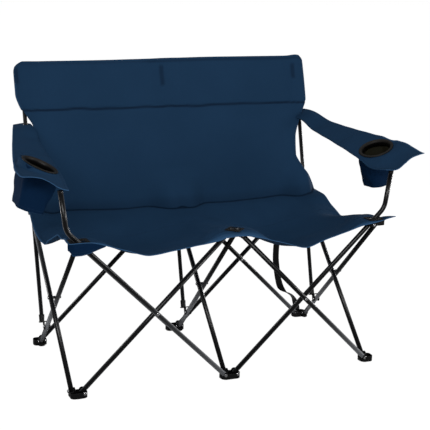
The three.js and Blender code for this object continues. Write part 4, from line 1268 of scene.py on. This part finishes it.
# A pouch: its depth, and its width and length at the mouth and at the floor; then for each side how
# round its section is, how much of the arm's slope its floor keeps, and how much that falls to the rear
POUCH_DEPTH = 126
POUCH_TOP = (106, 110)
POUCH_FLOOR = (82, 86)
POUCH_ROUND = {-1: 0.3, 1: 0.6}
POUCH_LEAN = {-1: 0.85, 1: 0.32}
POUCH_DROP = {-1: 0.08, 1: 0.22}
POUCH_CLOTH = 1.6
POUCH_GAP = 0.4
POUCH_SECTIONS = 22


def pouch_wall(angle, share, side):
    """A point of the pouch's wall, drawn upright, and how near it is to one of its four sewn corners."""
    half_x = mix(POUCH_TOP[0], POUCH_FLOOR[0], share) / 2
    half_y = mix(POUCH_TOP[1], POUCH_FLOOR[1], share) / 2
    c, s = math.cos(angle), math.sin(angle)
    x = math.copysign(abs(c) ** POUCH_ROUND[side], c)
    y = math.copysign(abs(s) ** POUCH_ROUND[side], s)
    corner = smooth(abs(x * y), 0.82, 0.95)
    belly = 4 * math.sin(math.pi * share) * (1 - corner)
    pull = 3 * math.sin(math.pi * share) * corner
    creases = ripple((x * 54, y * 66, share * 150), 38, 4.2, side * 3.1)
    creases += ripple((x * 54, y * 66, share * 60), 17, 1.5, side * 5.7)
    creases *= smooth(share, 0, 0.12)
    out = belly - pull + creases - 2
    slump = 5 * share**3 * ripple((x * 20, y * 20, 0), 30, 2.0, side * 1.3)
    return (x * (half_x + out), y * (half_y + out), -POUCH_DEPTH * share - slump), corner


def hang(bm, side):
    """Hangs the bag from the sloping arm: its mouth follows the cloth, and its floor is nearer level."""
    lean = POUCH_LEAN[side]
    for vert in bm.verts:
        x, y, z = vert.co * 1000
        mouth = side * ARM_ROLL * x + ARM_PITCH * y
        share = min(-z / POUCH_DEPTH, 1)
        slope = mix(1, lean, smooth(share, 0, 1))
        z -= POUCH_DROP[side] * y * smooth(share, 0.3, 1)
        drift = -z * side * math.sin(math.atan(ARM_ROLL)) * lean
        height = RING.z - CLOTH / 2 - POUCH_GAP + z + mouth * slope
        vert.co = place((side * RING.x + x + drift, RING.y + y, height))


def cup_pouch(name, side):
    """A boxy sewn bag, open under the ring, that tapers and sags a little to its floor."""
    bm = bmesh.new()
    edge_layer = cloth_layers(bm)[0]
    ring = bmesh.ops.create_circle(bm, cap_ends=False, radius=1, segments=96)["verts"]
    angles = [math.atan2(v.co.y, v.co.x) for v in ring]
    flat = {}

    def lay(verts, share):
        for vert, angle in zip(verts, angles):
            spot, corner = pouch_wall(angle, share, side)
            vert.co = Vector(spot) / 1000
            flat[vert] = (angle * 0.075, share * POUCH_DEPTH / 1000)
            vert[edge_layer] = min(mix(30, 2.5, corner), (1 - share) * POUCH_DEPTH + 2.5) / 1000

    edges = sweep(bm, ring, lay, [step / POUCH_SECTIONS for step in range(POUCH_SECTIONS + 1)])[1]
    floor = bmesh.ops.holes_fill(bm, edges=edges, sides=0)["faces"]
    bmesh.ops.inset_region(bm, faces=floor, thickness=0.012, depth=0.0)
    for vert in bm.verts:
        flat.setdefault(vert, (vert.co.x, vert.co.y))
        if vert[edge_layer] == 0:
            vert[edge_layer] = 0.03
    unwrap(bm, flat)
    bmesh.ops.recalc_face_normals(bm, faces=bm.faces)
    hang(bm, side)
    # The pouch takes the darker navy, partly as painted shade
    obj = piece(f"pouch_{name}", bm, SHADED_NAVY, f"arm_front_{name}")
    obj.data.materials.append(LINING)
    wall = thicken(obj, POUCH_CLOTH, -1)
    wall.material_offset = 1
    wall.material_offset_rim = 0
    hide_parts(f"cup_pouch_{name}")


for name, side in SIDES:
    cup_ring(name, side)
    cup_pouch(name, side)

for node in ("seat_patch_left", "seat_patch_right", "seat_patch_centre"):
    dress(nodes[node], WEBBING)
dress(nodes["seat_button_centre"], PLASTIC)


# Carry strap: sewn under the seat's rear edge, hanging slack behind, with half a turn above the foot


def bent_line(points, steps):
    """A smooth curve through points, evenly sampled."""
    points = [Vector(p) for p in points]
    padded = [points[0] * 2 - points[1]] + points + [points[-1] * 2 - points[-2]]
    fine = []
    for a, b, c, d in zip(padded, padded[1:], padded[2:], padded[3:]):
        square, cube = 2 * a - 5 * b + 4 * c - d, 3 * b - a - 3 * c + d
        for t in np.arange(24) / 24:
            fine.append(0.5 * (2 * b + (c - a) * t + square * t**2 + cube * t**3))
    fine.append(points[-1])
    lengths = [0.0]
    for first, second in zip(fine, fine[1:]):
        lengths.append(lengths[-1] + (second - first).length)
    along = np.linspace(0, lengths[-1], steps + 1)
    spread = [np.interp(along, lengths, [point[axis] for point in fine]) for axis in range(3)]
    return [Vector(point) for point in zip(*spread)], lengths[-1]


# The strap's section, where it is sewn on, and half the seat's width there
STRAP_WIDTH = 25
STRAP_THICKNESS = 1.8
STRAP_STEPS = 150
STRAP_X = 461.5
SEAT_HALF = 556


def carry_strap():
    """Black webbing, laid along its curve."""
    sewn = seat_point(STRAP_X / SEAT_HALF, 236).z - 3.2
    edge = seat_point(STRAP_X / SEAT_HALF, 257).z - 6
    course = (
        (STRAP_X, 232, sewn), (460, 252, edge - 3), (457, 276, edge - 14), (452, 286, 440),
        (436, 286, 370), (425, 286, 300), (423, 286, 240), (428, 286, 196), (437, 286, 150),
        (448, 286, 117), (463, 286, 98), (477, 286, 88), (491, 286, 80), (505, 286, 66), (516, 284, 44),
        (521, 281.4, 24), (522.5, 281.3, 3),
    )
    path, length = bent_line(course, STRAP_STEPS)
    bm = bmesh.new()
    bmesh.ops.create_grid(bm, x_segments=STRAP_STEPS, y_segments=6, size=0.5)
    flat = {}
    for vert in bm.verts:
        index = round((vert.co.x + 0.5) * STRAP_STEPS)
        flat[vert] = ((vert.co.x + 0.5) * length / 1000, (vert.co.y + 0.5) * STRAP_WIDTH / 1000)
        centre = path[index]
        run = (path[min(index + 1, STRAP_STEPS)] - path[max(index - 1, 0)]).normalized()
        turn = math.pi * smooth(-centre.z, -150, -24)
        level = (Vector((1, 0, 0)) - run * run.x).normalized()
        if abs(run.x) > 0.05 and centre.z < 160:
            level = Vector((-run.z, 0, run.x)).normalized()
        across = level * math.cos(turn) + run.cross(level) * math.sin(turn)
        vert.co = place(centre + across * (vert.co.y * STRAP_WIDTH))
    unwrap(bm, flat)
    obj = piece("webbing_strap", bm, WEBBING, "foot_rear_right")
    thicken(obj, STRAP_THICKNESS)
    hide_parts("carry_strap")


carry_strap()


# Studio


def white_in_view(tree, share):
    """The share of plain white where the camera looks straight on, and 1 where a reflection does."""
    path = tree.nodes.new("ShaderNodeLightPath")
    return maths(tree, "MULTIPLY", path.outputs["Is Camera Ray"], share), path.outputs["Is Glossy Ray"]


# Lamps: name, place, size and power; all look at LIT_POINT
LAMPS = (
    ("key", (-1.6, -3.4, 2.2), (3.2, 0.5), 84),
    ("fill", (3.3, -2.2, 1.3), (2.6, 0.5), 60),
    ("top", (0.0, 0.4, 3.2), (3.2, 0.4), 9),
    ("left_edge", (-2.6, 1.7, 0.75), (0.35, 1.1), 30),
    ("right_edge", (2.9, 1.4, 0.75), (0.35, 1.1), 30),
)
LIT_POINT = Vector((0, 0, 0.55))
FLOOR_HALF = 30


def studio():
    """A floor and a world that the camera sees as white, and five lamps."""
    bm = bmesh.new()
    bmesh.ops.create_grid(bm, x_segments=1, y_segments=1, size=FLOOR_HALF)
    mesh = bpy.data.meshes.new("floor")
    bm.to_mesh(mesh)
    bm.free()
    obj = bpy.data.objects.new("floor", mesh)
    bpy.context.scene.collection.objects.link(obj)
    material, tree, shader = start_material("pale_floor")
    shader.inputs["Roughness"].default_value = 0.9
    glow = tree.nodes.new("ShaderNodeEmission")
    glow.inputs["Strength"].default_value = 1.05
    both = tree.nodes.new("ShaderNodeMixShader")
    white, gloss = white_in_view(tree, 0.93)
    shade = blend_colour(tree, gloss, (0.8, 0.8, 0.8, 1), (0.15, 0.15, 0.15, 1))
    tree.links.new(shade, shader.inputs["Base Color"])
    tree.links.new(white, both.inputs[0])
    tree.links.new(shader.outputs[0], both.inputs[1])
    tree.links.new(glow.outputs[0], both.inputs[2])
    tree.links.new(both.outputs[0], tree.nodes["Material Output"].inputs[0])
    dress(obj, material)

    world = bpy.data.worlds.new("studio")
    bpy.context.scene.world = world
    world.use_nodes = True
    tree = world.node_tree
    back = tree.nodes["Background"]
    back.inputs["Color"].default_value = (1, 1, 1, 1)
    white, gloss = white_in_view(tree, 0.45)
    level = maths(tree, "SUBTRACT", maths(tree, "ADD", white, 0.55), maths(tree, "MULTIPLY", gloss, 0.35))
    tree.links.new(level, back.inputs["Strength"])

    for name, spot, size, energy in LAMPS:
        data = bpy.data.lights.new(name, "AREA")
        data.shape = "RECTANGLE"
        data.size, data.size_y = size
        data.energy = energy
        lamp = bpy.data.objects.new(name, data)
        lamp.location = spot
        lamp.rotation_euler = (LIT_POINT - Vector(spot)).to_track_quat("-Z", "Y").to_euler()
        bpy.context.scene.collection.objects.link(lamp)


studio()
bpy.context.scene.view_settings.view_transform = "Standard"
